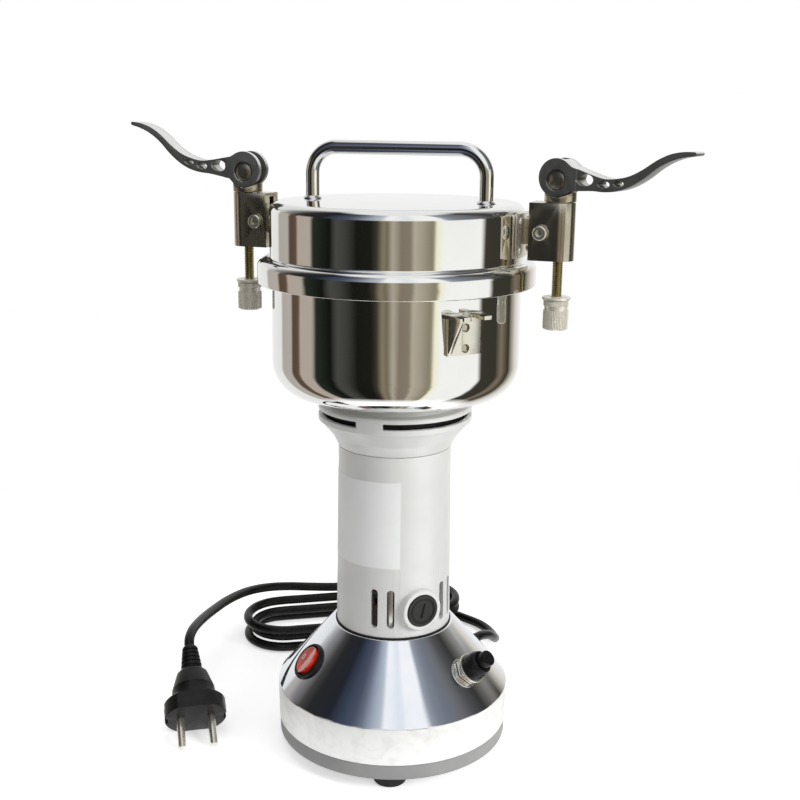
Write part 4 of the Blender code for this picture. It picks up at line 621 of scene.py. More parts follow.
def make_foot(number):
    """A turned rubber foot, slightly hollow underneath, with a screw head in the hollow."""
    low, high = box_mm(f"foot_{number}")
    centre = (low + high) / 2
    radius = (high.x - low.x) / 2
    place = at(Vector((centre.x, centre.y, 0.0)))
    rubber = lathe([
        (0.0, high.z), (radius, high.z, 0.4), (radius - 0.2, 0.0, 1.6), (4.2, 0.0, 0.8), (4.0, 2.2, 0.5),
        (0.0, 2.2),
    ], 5, closed=False)
    piece(f"foot_rubber_{number}", rubber, "black_rubber", "base", [f"foot_{number}"], place)
    screw = lathe([(0.0, 2.1), (2.9, 2.1, 0.2), (2.6, 1.0, 0.5), (0.0, 0.8)], 5, 32, closed=False)
    slots = [moved(block(size, (0, 0, 0.7)), place) for size in ((4.0, 0.7, 1.0), (0.7, 4.0, 1.0))]
    piece(f"foot_screw_{number}", screw, "satin_nickel", "base", place=place, cuts=slots)


# ---- Switch and breaker -------------------------------------------------------------------------
def make_switch():
    place = on_cone(SWITCH_AZIMUTH)
    top = 2.0
    bezel = lathe([
        (0.0, top - 4.4), (9.2, top - 4.4), (9.2, top - 0.7, 0.3), (9.9, top, 0.35), (11.0, top - 0.15, 0.7),
        (11.5, top - 1.6, 0.3), (11.5, -0.8), (10.0, -0.8), (10.0, -16.0, 0.5), (0.0, -16.0),
    ], 4, SMALL_ROUND * 2, closed=False)
    piece("switch_surround", bezel, "black_plastic", "base", ["switch_bezel"], place)
    for i, side in enumerate((-2.4, 2.4)):
        tab = block((1.0, 0.5, 5.0), (side * 2, 0.0, -17.9), 0.1, 1)
        piece(f"switch_terminal_{i + 1}", tab, "satin_nickel", "base", place=place)
    rocker = lathe([
        (0.0, 1.7), (8.7, 1.7, 0.35), (8.3, -1.7, 0.3), (0.0, -1.7),
    ], 4, SMALL_ROUND * 2, closed=False)
    tilt = Matrix.Rotation(math.radians(-7.0), 4, "Y")
    pivot = place @ Matrix.Translation((0.0, 0.0, top - 0.4)) @ tilt
    shape_rocker(piece("rocker_lens", rocker, "red_lens", "rocker", ["switch_rocker"], pivot), pivot)
    mark_height, half_depth, mark_reach = 1.42, 0.08, 4.4
    low, high = mark_height - half_depth, mark_height + half_depth
    bar = block((0.62, 3.4, 2 * half_depth), (mark_reach, 0.0, mark_height), 0.05, 1)
    piece("mark_on", bar, "mark_white", "rocker", place=pivot)
    ring = turned([(1.25, low), (1.75, low), (1.75, high), (1.25, high)], 40)
    piece("mark_off", ring, "mark_white", "rocker", place=pivot @ at((-mark_reach, 0.0, 0.0)))


def shape_rocker(obj, pivot):
    """Sinks the middle line of the rocker's face, so that its two facets meet in a shallow valley."""
    face_z, depth, half_length = 1.2, 0.9, 7.6
    shape = bmesh.new()
    shape.from_mesh(obj.data)
    bmesh.ops.scale(shape, vec=(1 / MM,) * 3, verts=shape.verts)
    bmesh.ops.transform(shape, matrix=pivot.inverted(), verts=shape.verts)
    bmesh.ops.bisect_plane(shape, geom=shape.verts[:] + shape.edges[:] + shape.faces[:], plane_co=(0, 0, 0),
                           plane_no=(1, 0, 0))
    for vert in shape.verts:
        if vert.co.z > face_z:
            vert.co.z -= depth * max(0.0, 1.0 - abs(vert.co.x) / half_length)
    bmesh.ops.transform(shape, matrix=pivot, verts=shape.verts)
    bmesh.ops.scale(shape, vec=(MM,) * 3, verts=shape.verts)
    bmesh.ops.recalc_face_normals(shape, faces=shape.faces)
    shape.to_mesh(obj.data)
    shape.free()
    obj.data.shade_smooth()
    obj.data.set_sharp_from_angle(angle=math.radians(8.0))


def hexagon(flats):
    corner = flats / math.sqrt(3)
    return arc((0.0, 0.0), (corner, corner), 0.0, 300.0, 5)


def make_breaker():
    place = on_cone(BREAKER_AZIMUTH)
    neck, collar_z, cap_z = 5.3, 3.3, 19.6
    nut = plate(hexagon(15.0), 0.3, collar_z)
    piece("breaker_hexagon", nut, "satin_nickel", "base", ["breaker_nut"], place,
          cuts=[bore(place, neck, -1.0, 5.0)], edge=0.25, sharp=30.0)
    washer = lathe([(neck, collar_z), (9.0, collar_z, 0.3), (9.0, 4.7, 0.4), (neck, 4.7, 0.2)], 3)
    piece("breaker_ring", washer, "satin_nickel", "base", place=place)
    body = lathe([
        (0.0, 8.5), (5.0, 8.5), (5.0, 14.0, 0.25), (6.5, 14.0, 0.9), (7.5, 11.6, 0.6), (7.9, 5.0, 0.2),
        (5.0, 5.0), (5.0, -14.0, 0.4), (0.0, -14.0),
    ], 4, closed=False)
    piece("breaker_housing", body, "black_plastic", "base", ["breaker_body"], place)
    button = lathe([(0.0, cap_z), (4.7, cap_z, 0.9), (4.7, 11.5, 0.2), (0.0, 11.5)], 4, closed=False)
    grooves = [moved(block((12.0, 0.55, 0.9), (0.0, -3.3 + 1.32 * i, cap_z)), place) for i in range(6)]
    piece("reset_cap", button, "black_plastic", "reset", ["reset_button"], place, cuts=grooves, edge=0.12)


# ---- Motor column -------------------------------------------------------------------------------
def make_housing():
    low, high = HOUSING_LOW.z, HOUSING_HIGH.z
    floor_z = low + 3.0
    tube = lathe([
        (HOUSING_TOP, high), (HOUSING_FOOT, low, 0.5), (SHAFT_HOLE, low), (SHAFT_HOLE, 80.5),
        (BEARING_POCKET, 80.5), (BEARING_POCKET, 87.8), (BEARING_CUP, 87.8, 0.6), (BEARING_CUP, floor_z),
        (HOUSING_FOOT - COLUMN_WALL, floor_z, 0.8), (HOUSING_TOP - COLUMN_WALL, high),
    ], 5, ROUND)
    brush_z = middle("brush_cap_1").z
    joins, cuts = [], []
    for side in HALF_TURNS:
        place = facing(BRUSH_AZIMUTH + side, brush_z)
        boss = lathe([(0.0, 30.6), (12.8, 30.6), (12.2, 37.4, 0.9), (0.0, 37.4)], 4, 96, closed=False)
        joins.append(moved(boss, place))
        cuts += [bore(place, 9.9, 34.5, 38.2, 96), bore(place, 7.0, 20.0, 38.0, 48)]
        for offset in VENT_OFFSETS:
            ends = (arc((0.0, 9.8), (2.2, 2.2), 0.0, 180.0, 8)
                    + arc((0.0, -9.8), (2.2, 2.2), 180.0, 360.0, 8))
            cuts.append(moved(plate(ends, 27.0, 41.0), facing(BRUSH_AZIMUTH + side + offset, VENT_Z)))
    piece("motor_column", tube, "silver_paint", "base", ["motor_housing"], joins=joins, cuts=cuts, edge=0.35)
    for number, side in enumerate(HALF_TURNS, 1):
        strip = block((2.6, 25.0, 1.2), (0.0, 0.0, 30.7), 0.3)
        place = facing(BRUSH_AZIMUTH + side + VENT_OFFSETS[1], VENT_Z)
        piece(f"frame_strip_{number}", strip, "drawn_steel", "base", place=place)
    for number, side in enumerate(HALF_TURNS, 1):
        make_brush_cap(number, facing(BRUSH_AZIMUTH + side, brush_z))
    make_label()


def make_brush_cap(number, place):
    """A screwed plastic cap with a rounded rim, one shallow ring in its face and a coin slot."""
    head = lathe([
        (0.0, 37.6), (6.6, 37.6, 0.2), (6.9, 37.2, 0.2), (7.5, 37.2, 0.2), (7.8, 38.1, 0.3), (9.6, 38.1, 0.7),
        (9.6, 34.8, 0.2), (6.7, 34.8), (6.7, 22.6), (0.0, 22.6),
    ], 3, closed=False)
    slot_turn = spin_z(-14.0 if number == 1 else 20.0)
    slot = moved(block((1.6, 9.0, 2.4), (0.0, 0.0, 37.8), 0.2, 1), place @ slot_turn)
    piece(f"brush_holder_cap_{number}", head, "cap_plastic", "base", [f"brush_cap_{number}"], place,
          cuts=[slot], edge=0.1)


def wall_radius(z):
    """The column's outside radius at a height."""
    share = (z - HOUSING_LOW.z) / (HOUSING_HIGH.z - HOUSING_LOW.z)
    return HOUSING_FOOT + (HOUSING_TOP - HOUSING_FOOT) * share


def make_label():
    """A blank pale sticker wrapped round the column."""
    low, high = 121.5, 173.0
    left, right = -88.0, 25.5
    proud, sunk = 0.14, 0.28
    steps = round((right - left) / 2.5)
    outline = [(wall_radius(low) + proud, low), (wall_radius(high) + proud, high),
               (wall_radius(high) - sunk, high), (wall_radius(low) - sunk, low)]
    piece("blank_sticker", turned_plate(outline, left, right - left, steps), "blank_label", "base")


def make_neck():
    top, throat, deck = 213.0, 202.0, 210.6
    boss_top = NECK_HIGH.z
    radius = 44.8
    low = NECK_LOW.z
    neck = lathe([
        (radius, top, 1.2), (radius, throat + 1.8, 0.8), (42.6, throat, 1.6), (36.2, throat - 7.6, 9.0),
        (HOUSING_TOP, low), (HOUSING_TOP - COLUMN_WALL, low), (39.8, throat + 0.4), (42.0, throat + 2.2),
        (42.0, deck), (BEARING_CUP, deck), (BEARING_CUP, 203.3), (BEARING_POCKET, 203.3),
        (BEARING_POCKET, deck), (SHAFT_HOLE, deck), (SHAFT_HOLE, boss_top), (38.0, boss_top, 0.4),
        (38.0, top),
    ], 6, ROUND)
    slots = []
    for azimuth in (60.0, 180.0, 300.0):
        angles = [azimuth - 50.0 + 5.0 * i for i in range(21)]
        outline = [outward(angle, 40.6).xy for angle in angles]
        outline += [outward(angle, 50.0).xy for angle in reversed(angles)]
        slots.append(plate(outline, 206.7, 210.3))
    piece("neck_casting", neck, "silver_paint", "base", ["neck_flange"], cuts=slots, edge=0.3)
    # A thin black ring just inside the air slots: a painted shade sheet that keeps the slots dark.
    dark = lathe([(39.6, 205.6), (40.3, 205.6), (40.3, 210.5), (39.6, 210.5)], 5, ROUND)
    piece("neck_slot_shade", dark, "black_plastic", "base")


# ---- Bowl ---------------------------------------------------------------------------------------
def make_bowl():
    low, high = BOWL_LOW.z, BOWL_HIGH.z
    rim = BOWL_HIGH.x
    inner = BOWL_RADIUS - STEEL
    under_rim = high - STEEL
    fillet_centre = (BOWL_RADIUS - 17.0, low + 19.5)
    rolled_rim = filleted([
        (inner, high), (rim, high, 0.8), (rim, under_rim, 0.7), (BOWL_RADIUS, under_rim, 1.2),
    ], 4)
    bowl = turned(
        rolled_rim + arc(fillet_centre, (17.0, 19.5), 0.0, -90.0, 24)
        + [(SHAFT_HOLE, low), (SHAFT_HOLE, low + STEEL)]
        + arc(fillet_centre, (15.4, 17.9), -90.0, 0.0, 24),
        ROUND * 2,
    )
    piece("bowl_shell", bowl, "polished_steel", "base", ["bowl"])
    for number, side in enumerate(HALF_TURNS, 1):
        make_lug(number, LUG_AZIMUTH + side)


def make_lug(number, azimuth):
    """A pressed steel ear: forked top plate, curved back on the bowl's wall, one gusset and rivets."""
    low, high = box_mm(f"bowl_lug_{number}")
    top = high.z
    root = BOWL_RADIUS + 0.1
    reach, thick, half_slot = 84.2, 2.0, 4.0
    slot_floor = reach - 2 * half_slot
    turn = spin_z(azimuth)
    outline = [(-13.5, -68.0), (-8.5, -reach), (-half_slot, -reach),
               *[tuple(p) for p in arc((0.0, -slot_floor), (half_slot, half_slot), 180.0, 0.0, 14)],
               (half_slot, -reach), (8.5, -reach), (13.5, -68.0)]
    ear = plate(outline, top - thick, top)
    back = turned_plate([(root, low.z), (root + thick, low.z), (root + thick, top - 0.4), (root, top - 0.4)],
                        -8.6, 17.2, 16)
    gusset = plate([(root - 0.5, low.z + 3.0), (root + thick, low.z + 1.4), (reach - 1.0, top - 3.2),
                    (reach - 1.0, top - 0.6), (root - 0.5, top - 0.6)], 0.0, thick)
    upright = Matrix(((0, 0, 1, -10.4), (-1, 0, 0, 0), (0, 1, 0, 0), (0, 0, 0, 1)))
    rivet_places = [facing(azimuth, z) for z in (257.0, 268.0)]
    holes = [bore(place, 2.4, root - 2.0, root + 5.0, 32) for place in rivet_places]
    wall = post(root, low.z - 10.0, top + 10.0, 256)
    piece(f"lug_bracket_{number}", ear, "ear_steel", "base", [f"bowl_lug_{number}"], turn,
          joins=[moved(back, turn), moved(gusset, turn @ upright)], cuts=[wall, *holes], edge=0.4)
    for i, place in enumerate(rivet_places, 1):
        rivet = lathe([(0.0, root + 1.0), (1.9, root + 0.9, 0.4), (2.1, root - 0.3), (0.0, root - 0.3)],
                      3, 32, closed=False)
        piece(f"lug_rivet_{number}_{i}", rivet, "smoked_nickel", "base", place=place)


# ---- Lid ----------------------------------------------------------------------------------------
def make_lid():
    top, low = LID_HIGH.z, LID_LOW.z
    skirt = LID_HIGH.x
    step = 297.4
    lid = lathe([
        (0.0, top), (LID_RADIUS, top, 6.0), (LID_RADIUS, step + 0.2, 1.0), (skirt, step, 5.2),
        (skirt, low, 0.7), (skirt - STEEL, low, 0.5), (skirt - STEEL, step - STEEL, 3.6),
        (LID_RADIUS - STEEL, step - STEEL), (LID_RADIUS - STEEL, top - STEEL, 4.4), (0.0, top - STEEL),
    ], 10, ROUND * 2, closed=False)
    piece("lid_cover", lid, "polished_steel", "lid", ["lid"])
    seal_low, seal_high = box_mm("lid_seal")
    outer = seal_high.x
    lip = lathe([
        (outer - 5.0, seal_low.z, 0.4), (outer, seal_low.z, 0.4), (outer, seal_high.z, 0.5),
        (outer - 5.0, seal_high.z, 0.5),
    ], 3, ROUND)
    piece("seal_ring", lip, "clear_silicone", "seal", ["lid_seal"])
    make_handle(top)
    for name, side in SIDES.items():
        make_strap(name, side)


def make_handle(lid_top):
    high = box_mm("lid_handle")[1]
    radius, bend, start_z = 4.0, 15.0, lid_top - 0.2
    half = high.x - radius
    crown = high.z - radius
    right = [Vector((half, start_z)), Vector((half, lid_top + 6.0))]
    right += arc((half - bend, crown - bend), (bend, bend), 0.0, 90.0, 24)
    path = right + [Vector((-p.x, p.y)) for p in reversed(right)]
    shape = bmesh.new()
    ring = bmesh.ops.create_circle(shape, cap_ends=True, segments=40, radius=radius)["verts"]
    bmesh.ops.translate(shape, vec=(half, 0.0, start_z), verts=ring)
    face = shape.faces[:]
    heading = Vector((0.0, 1.0))
    for i in range(1, len(path)):
        here, step = path[i], path[i] - path[i - 1]
        ahead = (path[min(i + 1, len(path) - 1)] - path[i - 1]).normalized()
        out = bmesh.ops.extrude_face_region(shape, geom=face)["geom"]
        verts = [v for v in out if isinstance(v, bmesh.types.BMVert)]
        face = [f for f in out if isinstance(f, bmesh.types.BMFace)]
        bmesh.ops.translate(shape, vec=(step.x, 0.0, step.y), verts=verts)
        turn = Matrix.Rotation(-math.atan2(heading.cross(ahead), heading.dot(ahead)), 3, "Y")
        bmesh.ops.rotate(shape, cent=(here.x, 0.0, here.y), matrix=turn, verts=verts)
        heading = ahead
    tidy(shape)
    piece("carry_handle", shape, "polished_steel", "lid", ["lid_handle"])
    for number, side in enumerate((1, -1), 1):
        weld = lathe([
            (radius - 0.5, lid_top - 0.3), (radius + 1.5, lid_top - 0.3), (radius + 1.2, lid_top + 0.5, 0.3),
            (radius + 0.1, lid_top + 1.7, 0.6), (radius - 0.5, lid_top + 1.7),
        ], 3, 48)
        piece(f"handle_weld_{number}", weld, "drawn_steel", "lid", place=at((side * half, 0.0, 0.0)))


def make_strap(name, side):
    """A curved plate on the lid's wall with the tongue that carries the clamp, and four rivets."""
    low, high = box_mm(f"lid_strap_{name}")
    inner = LID_RADIUS + 0.1
    outer = inner + 1.7
    azimuth = 90.0 * side
    span = math.degrees(24.0 / outer)
    plate_shape = turned_plate([(inner, low.z), (outer, low.z), (outer, high.z), (inner, high.z)],
                               azimuth - span / 2, span, 20)
    root, end, half = inner + 0.8, PIVOT_REACH + 3.6, 7.0
    tongue = plate(filleted([(root, PIVOT_Z - half), (end, PIVOT_Z - half, 3.4), (end, PIVOT_Z + half, 3.4),
                             (root, PIVOT_Z + half)], 6), -2.5, 2.5)
    turn = spin_z(azimuth - 90.0)
    upright = turn @ Matrix.Rotation(math.radians(90.0), 4, "X")
    hole = bore(turn @ at((PIVOT_REACH, 0.0, PIVOT_Z), along(ALONG_Y)), BOLT_HOLE, -8.0, 8.0, 32)
    piece(f"strap_plate_{name}", plate_shape, "satin_nickel", "lid", [f"lid_strap_{name}"],
          joins=[moved(tongue, upright)], cuts=[hole], edge=0.35)
    spots = [(offset, z) for z in (low.z + 4.0, high.z - 4.0) for offset in (-6.6, 6.6)]
    for number, (offset, z) in enumerate(spots, 1):
        rivet = lathe([(0.0, outer + 0.8), (1.5, outer + 0.7, 0.5), (1.8, outer - 0.2), (0.0, outer - 0.2)],
                      3, 24, closed=False)
        piece(f"strap_rivet_{name}_{number}", rivet, "satin_nickel", "lid", place=facing(azimuth + offset, z))


# ---- Clamps -------------------------------------------------------------------------------------
def make_yoke(name, side):
    low, high = box_mm(f"clamp_yoke_{name}")
    turn = spin_z(0.0 if side > 0 else 180.0)
    inner = 77.5
    half = (high.y - low.y) / 2
    nose = arc((ROD_REACH, 0.0), (half, half), -90.0, 90.0, 28)
    block_shape = plate([(inner, -half), *nose, (inner, half)], low.z, high.z)
    slot_end = ROD_REACH - 1.0
    slot_length = slot_end - inner + 4.0
    slot = block((slot_length, 5.8, high.z - low.z - 4.0),
                 (slot_end - slot_length / 2, 0.0, (low.z + high.z) / 2))
    rod_hole = bore(at((side * ROD_REACH, 0.0, 0.0)), 3.3, low.z - 1.0, high.z + 1.0, 48)
    bolt_place = at((side * PIVOT_REACH, 0.0, PIVOT_Z), along(ALONG_Y))
    piece(f"yoke_block_{name}", block_shape, "smoked_nickel", f"yoke_{name}", [f"clamp_yoke_{name}"], turn,
          cuts=[moved(slot, turn), rod_hole, bore(bolt_place, BOLT_HOLE, -20.0, 20.0, 32)], edge=0.55)


def make_pivot_bolt(name, side):
    """A socket head screw: ring-shaped heads with a six-sided socket, domed at the rim."""
    place = at((side * PIVOT_REACH, 0.0, PIVOT_Z), along(-ALONG_Y))
    head, shank, inside, outside = 4.0, 2.1, 8.8, 11.2
    bolt = lathe([
        (0.0, outside), (head, outside, 0.9), (head, inside, 0.2), (shank, inside), (shank, -inside),
        (head, -inside, 0.2), (head, -outside, 0.9), (0.0, -outside),
    ], 4, 48, closed=False)
    sockets = [moved(plate(hexagon(3.4), low, low + 2.3), place) for low in (9.7, -12.0)]
    piece(f"socket_bolt_{name}", bolt, "satin_nickel", f"yoke_{name}", [f"pivot_bolt_{name}"], place,
          cuts=sockets, edge=0.15)


def make_cam_seat(name, place):
    low, high = box_mm(f"cam_seat_{name}")
    down, up = low.z - CAM_PIN_Z, high.z - CAM_PIN_Z
    seat = lathe([(3.3, down), (8.6, down, 0.6), (8.6, up, 0.5), (3.3, up)], 3)
    dish = 14.0
    dish_z = CAM_OFFSET - CAM_RADIUS - 0.35 + dish
    saddle = bore(place @ at((0, 0, dish_z), along(ALONG_Y)), dish, -12.0, 12.0, 128)
    piece(f"saddle_{name}", seat, "bronze", f"seat_{name}", [f"cam_seat_{name}"], place, cuts=[saddle],
          edge=0.25)


def make_rod(name, place):
    """The clamp rod: a plain neck under the cam pin and a rolled thread below it, as turned rings."""
    low = box_mm(f"clamp_rod_{name}")[0].z - CAM_PIN_Z
    top = -5.8
    radius, root, pitch = 2.9, 2.45, 1.0
    profile = [(0.0, top), (radius - 0.1, top), (radius - 0.1, -9.0)]
    z = -9.0
    while z - pitch > low + 0.6:
        profile += [(root, z - 0.30), (root, z - 0.45), (radius, z - 0.85), (radius, z - pitch)]
        z -= pitch
    profile += [(root, low + 0.5), (root - 0.5, low), (0.0, low)]
    rod = turned(profile, 40, closed=False)
    piece(f"threaded_rod_{name}", rod, "yellow_zinc", f"rod_{name}", [f"clamp_rod_{name}"], place, sharp=20.0)
    half = 6.8
    crown = arc((0.0, half - 2.0), (5.3, 2.0), 0.0, 90.0, 10)
    pin = turned([*reversed(crown), *[(p.x, -p.y) for p in crown]], closed=False)
    piece(f"barrel_pin_{name}", pin, "pin_bronze", f"rod_{name}", [f"cam_pin_{name}"],
          place @ at((0, 0, 0), along(ALONG_Y)))


BOLT_HOLE = 2.4
CAM_OFFSET = 1.3               # the cam's centre above its pin
CAM_RADIUS = 10.2
# Along the lever from its pin: distance, height of the middle line, half the depth
LEVER_STATIONS = (
    (9.2, 0.9, 6.2), (14.0, 0.2, 5.4), (21.0, -0.8, 4.1), (28.0, -1.8, 3.4), (35.0, -1.2, 3.2),
    (42.0, 0.9, 2.8), (49.0, 4.8, 2.5), (56.0, 9.8, 2.1), (63.0, 13.3, 1.8), (70.0, 15.0, 1.4),
    (76.5, 15.4, 1.0),
)
# Distance and height of each oval hole, half its length and half its height
LEVER_HOLES = ((16.4, 0.7, 4.9, 3.2), (27.2, -1.3, 3.5, 1.9), (35.6, -0.6, 2.9, 1.6))


def smooth_route(points, spacing):
    """Points about this far apart on one smooth curve through a route's own points."""
    ends = [points[0] * 2 - points[1], *points, points[-1] * 2 - points[-2]]
    route = []
    for before, start, end, after in zip(ends, ends[1:], ends[2:], ends[3:]):
        count = max(1, round((end - start).length / spacing))
        for i in range(count):
            t = i / count
            route.append(
                0.5 * (2 * start + (end - before) * t + (2 * before - 5 * start + 4 * end - after) * t**2
                       + (3 * start - before - 3 * end + after) * t**3)
            )
    route.append(points[-1])
    return route


def make_lever(name, place):
    """A cast cam lever: two cheeks round the pin, an arm with three oval holes, and pale edges: a little wear
    and a painted highlight.
    """
    half = 6.5
    upper = [Vector((x, z + depth)) for x, z, depth in LEVER_STATIONS]
    lower = [Vector((x, z - depth)) for x, z, depth in LEVER_STATIONS]
    tip = arc((75.5, 15.4), (1.0, 1.0), -80.0, 80.0, 5)
    disc = arc((0.0, CAM_OFFSET), (CAM_RADIUS, CAM_RADIUS), 50.0, 318.0, 54)
    outline = disc + smooth_route(lower, 2.5)[:-1] + tip + list(reversed(smooth_route(upper, 2.5)))[1:]
    raised = Matrix.Rotation(-math.radians(LEVER_TURN[name]), 4, "Y")
    upright = place @ raised @ Matrix.Rotation(math.pi / 2, 4, "X")
    fork = block((16.55, 31.0, 6.6), (-4.975, 0.0, 0.0))
    slimmer = [block((90.0, 60.0, 4.0), (56.8, 5.1, side * 7.5)) for side in (1, -1)]
    ovals = [plate(arc((x, z), (half_length, half_height), 0.0, 352.0, 44), -8.0, 8.0)
             for x, z, half_length, half_height in LEVER_HOLES]
    cuts = [moved(shape, upright) for shape in (fork, *slimmer, post(5.8, -8.0, 8.0), *ovals)]
    obj = piece(f"lever_arm_{name}", plate(outline, -half, half), "lever_gunmetal", f"lever_{name}",
                [f"cam_lever_{name}"], upright, cuts=cuts, edge=0.5)
    across = (upright.to_3x3() @ Vector((0.0, 0.0, 1.0))).normalized()
    edge_wear_and_highlight = obj.data.attributes.new("edge_wear_and_highlight", "FLOAT", "FACE")
    for polygon, value in zip(obj.data.polygons, edge_wear_and_highlight.data):
        edge = abs(polygon.normal.dot(across)) < 0.93
        # Edge faces get a small even wear value, raised into a painted highlight the more they face upwards.
        value.value = max(0.08, min(1.0, polygon.normal.z * 3.0)) if edge else 0.0


def make_nut(name, side):
    """A straight-knurled thumb nut with one plain groove, and its washer."""
    low, high = box_mm(f"knurled_nut_{name}")
    place = at((side * ROD_REACH, 0.0, 0.0))
    radius, depth, teeth, hole = 7.0, 0.28, 48, 3.2
    outline = []
    for i in range(teeth):
        for share, reach in ((0.0, radius - depth), (0.3, radius), (0.62, radius)):
            angle = math.tau * (i + share) / teeth
            outline.append((reach * math.cos(angle), reach * math.sin(angle)))
    groove_top = high.z - 3.0
    groove_low = groove_top - 2.6
    core = lathe([
        (0.0, low.z), (radius - 1.0, low.z, 0.5), (radius - 0.35, low.z + 0.9, 0.2),
        (radius - 0.6, groove_low - 0.2), (radius - 0.6, groove_top + 0.2), (radius - 0.4, high.z - 0.5),
        (radius - 0.9, high.z, 0.2), (hole, high.z), (hole, low.z + 2.5), (0.0, low.z + 2.5),
    ], 3, closed=False)
    nut = added(core, plate(outline, low.z + 0.7, groove_low), plate(outline, groove_top, high.z - 0.3))
    piece(f"thumb_nut_{name}", nut, "bright_nickel", f"nut_{name}", [f"knurled_nut_{name}"], place,
          cuts=[bore(place, 3.25, low.z + 2.6, high.z + 2.0, 40)], sharp=25.0)
    low, high = box_mm(f"nut_washer_{name}")
    washer = lathe([(hole, low.z, 0.15), (7.8, low.z, 0.3), (7.8, high.z, 0.3), (hole, high.z, 0.15)], 3)
    piece(f"flat_washer_{name}", washer, "bright_nickel", f"washer_{name}", [f"nut_washer_{name}"], place)


def make_clamp(name, side):
    heading = LEVER_SWIVEL[name] + (0.0 if side > 0 else 180.0)
    place = at((side * ROD_REACH, 0.0, CAM_PIN_Z)) @ spin_z(heading)
    make_yoke(name, side)
    make_pivot_bolt(name, side)
    make_cam_seat(name, place)
    make_rod(name, place)
    make_lever(name, place)
    make_nut(name, side)


# ---- Cord and plug ------------------------------------------------------------------------------
CORD_RADIUS = 3.2
GLAND_Z = 26.0
EXIT_REACH = 72.0              # from the axis to where the cord leaves the base
GLAND_REACH = 98.0             # and to its sleeve's end
# From here to the hank and from the hank to the plug, as seen from the front: right, back, up
TAIL_ROUTE = (
    (66.6, 95.4, 22.6), (70.6, 104.0, 17.2), (73.2, 114.0, 11.6), (74.0, 125.0, 7.0),
    (73.0, 136.5, 4.4), (69.8, 147.0, 3.8), (64.4, 155.8, 3.8), (55.4, 164.8, 3.8), (45.0, 174.4, 3.7),
)
LEAD_ROUTE = (
    (12.0, 187.0, 23.5), (-8.0, 183.2, 23.4), (-28.0, 179.4, 23.4), (-47.0, 176.5, 23.6),
    (-64.0, 175.0, 24.2), (-80.0, 172.0, 25.6), (-94.0, 164.0, 28.0), (-105.5, 150.5, 31.0),
    (-113.5, 134.0, 34.0), (-119.5, 116.0, 36.8), (-124.0, 98.0, 39.2), (-127.5, 80.0, 41.8),
    (-130.2, 62.0, 44.2), (-131.7, 46.5, 45.4),
)
HANK_CENTRE = (-30.0, 150.0)   # right and back
HANK_TURN = 12.0
HANK_RUN = 101.0
HANK_TURN_RADII = (27.0, 22.8, 27.3, 27.3, 27.3)
HANK_STEPS = 34                # points on each turn
PLUG_FACE = (-121.0, -9.0)
PLUG_YAW = 13.6
PLUG_DISC_HALF_HEIGHT = 15.5
PLUG_LENGTH = 50.0


def plug_frame():
    """The plug's place: its face's centre, +Z out of its rear along the cord, +Y up."""
    yaw = math.radians(PLUG_YAW)
    pitch = math.atan2(PLUG_DISC_HALF_HEIGHT - 2.4, 19.0 + 0.3)
    ahead = from_front(math.sin(yaw), -math.cos(yaw), 0.0)
    rear = -ahead * math.cos(pitch) + Vector((0.0, 0.0, math.sin(pitch)))
    return at(from_front(*PLUG_FACE, PLUG_DISC_HALF_HEIGHT * math.cos(pitch)), along(rear))


def hank_point(share, radius, z):
    """A point on one turn of the hank, two straight runs joined by bends; share goes once round it."""
    run_share = 0.285
    bend_share = 0.5 - run_share
    half = (share % 1.0) % 0.5
    flip = 1.0 if share % 1.0 < 0.5 else -1.0
    if half < run_share:
        x, y = HANK_RUN * (half / run_share - 0.5), -radius
    else:
        angle = math.pi * ((half - run_share) / bend_share - 0.5)
        x, y = HANK_RUN / 2 + radius * math.cos(angle), radius * math.sin(angle)
    offset = spin_z(FRONT_TURN + HANK_TURN) @ Vector((x * flip, y * flip, 0.0))
    return from_front(*HANK_CENTRE, z) + offset


def hank_turns():
    """Three turns lying on each other, each climbing onto the last near the end of its front run."""
    first, last = 0.452, 3.49
    count = round((last - first) * HANK_STEPS)
    points = []
    for i in range(count + 1):
        share = first + (last - first) * i / count
        lap = share - 0.40
        climb = min(1.0, max(0.0, (lap % 1.0 - 0.70) / 0.28))
        level = int(lap) + climb * climb * (3.0 - 2.0 * climb)
        turn = int(level)
        start, end = HANK_TURN_RADII[turn:turn + 2]
        radius = start + (end - start) * (level - turn)
        points.append(hank_point(share, radius, 3.6 + 2 * CORD_RADIUS * level))
    return points


def cord_route():
    """The whole cord: out of the gland, down to the table, three turns of the hank, and up to the plug."""
    out = outward(GLAND_AZIMUTH, 1.0)
    up = Vector((0.0, 0.0, GLAND_Z))
    route = [out * reach + up for reach in (EXIT_REACH, 85.0, GLAND_REACH, GLAND_REACH + 7.0)]
    route += [from_front(*point) for point in TAIL_ROUTE]
    route += hank_turns()
    route += [from_front(*point) for point in LEAD_ROUTE]
    plug = plug_frame()
    route.append(plug @ Vector((0.0, 0.0, PLUG_LENGTH + 5.0)))
    route.append(plug @ Vector((0.0, 0.0, PLUG_LENGTH - 6.0)))
    return route


def curve_piece(name, points, radius, finish_name, body):
    curve = bpy.data.curves.new(name, "CURVE")
    curve.dimensions = "3D"
    curve.bevel_depth = radius * MM
    curve.bevel_resolution = 6
    curve.use_fill_caps = True
    spline = curve.splines.new("POLY")
    spline.points.add(len(points) - 1)
    for point, place in zip(spline.points, points):
        point.co = (*(place * MM), 1.0)
    spline.use_smooth = True
    obj = bpy.data.objects.new(name, curve)
    bpy.context.scene.collection.objects.link(obj)
    curve.materials.append(MATERIALS[finish_name])
    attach(obj, body)
    return obj


def make_cord():
    route = smooth_route(cord_route(), 2.5)
    cord = curve_piece("mains_cord", route, CORD_RADIUS, "cord_jacket", "base")
    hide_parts("cord_tail", "cord_hank", "cord_lead")
    relief = make_strain_relief()
    plug, on_plug = make_plug()
    tie = make_tie()


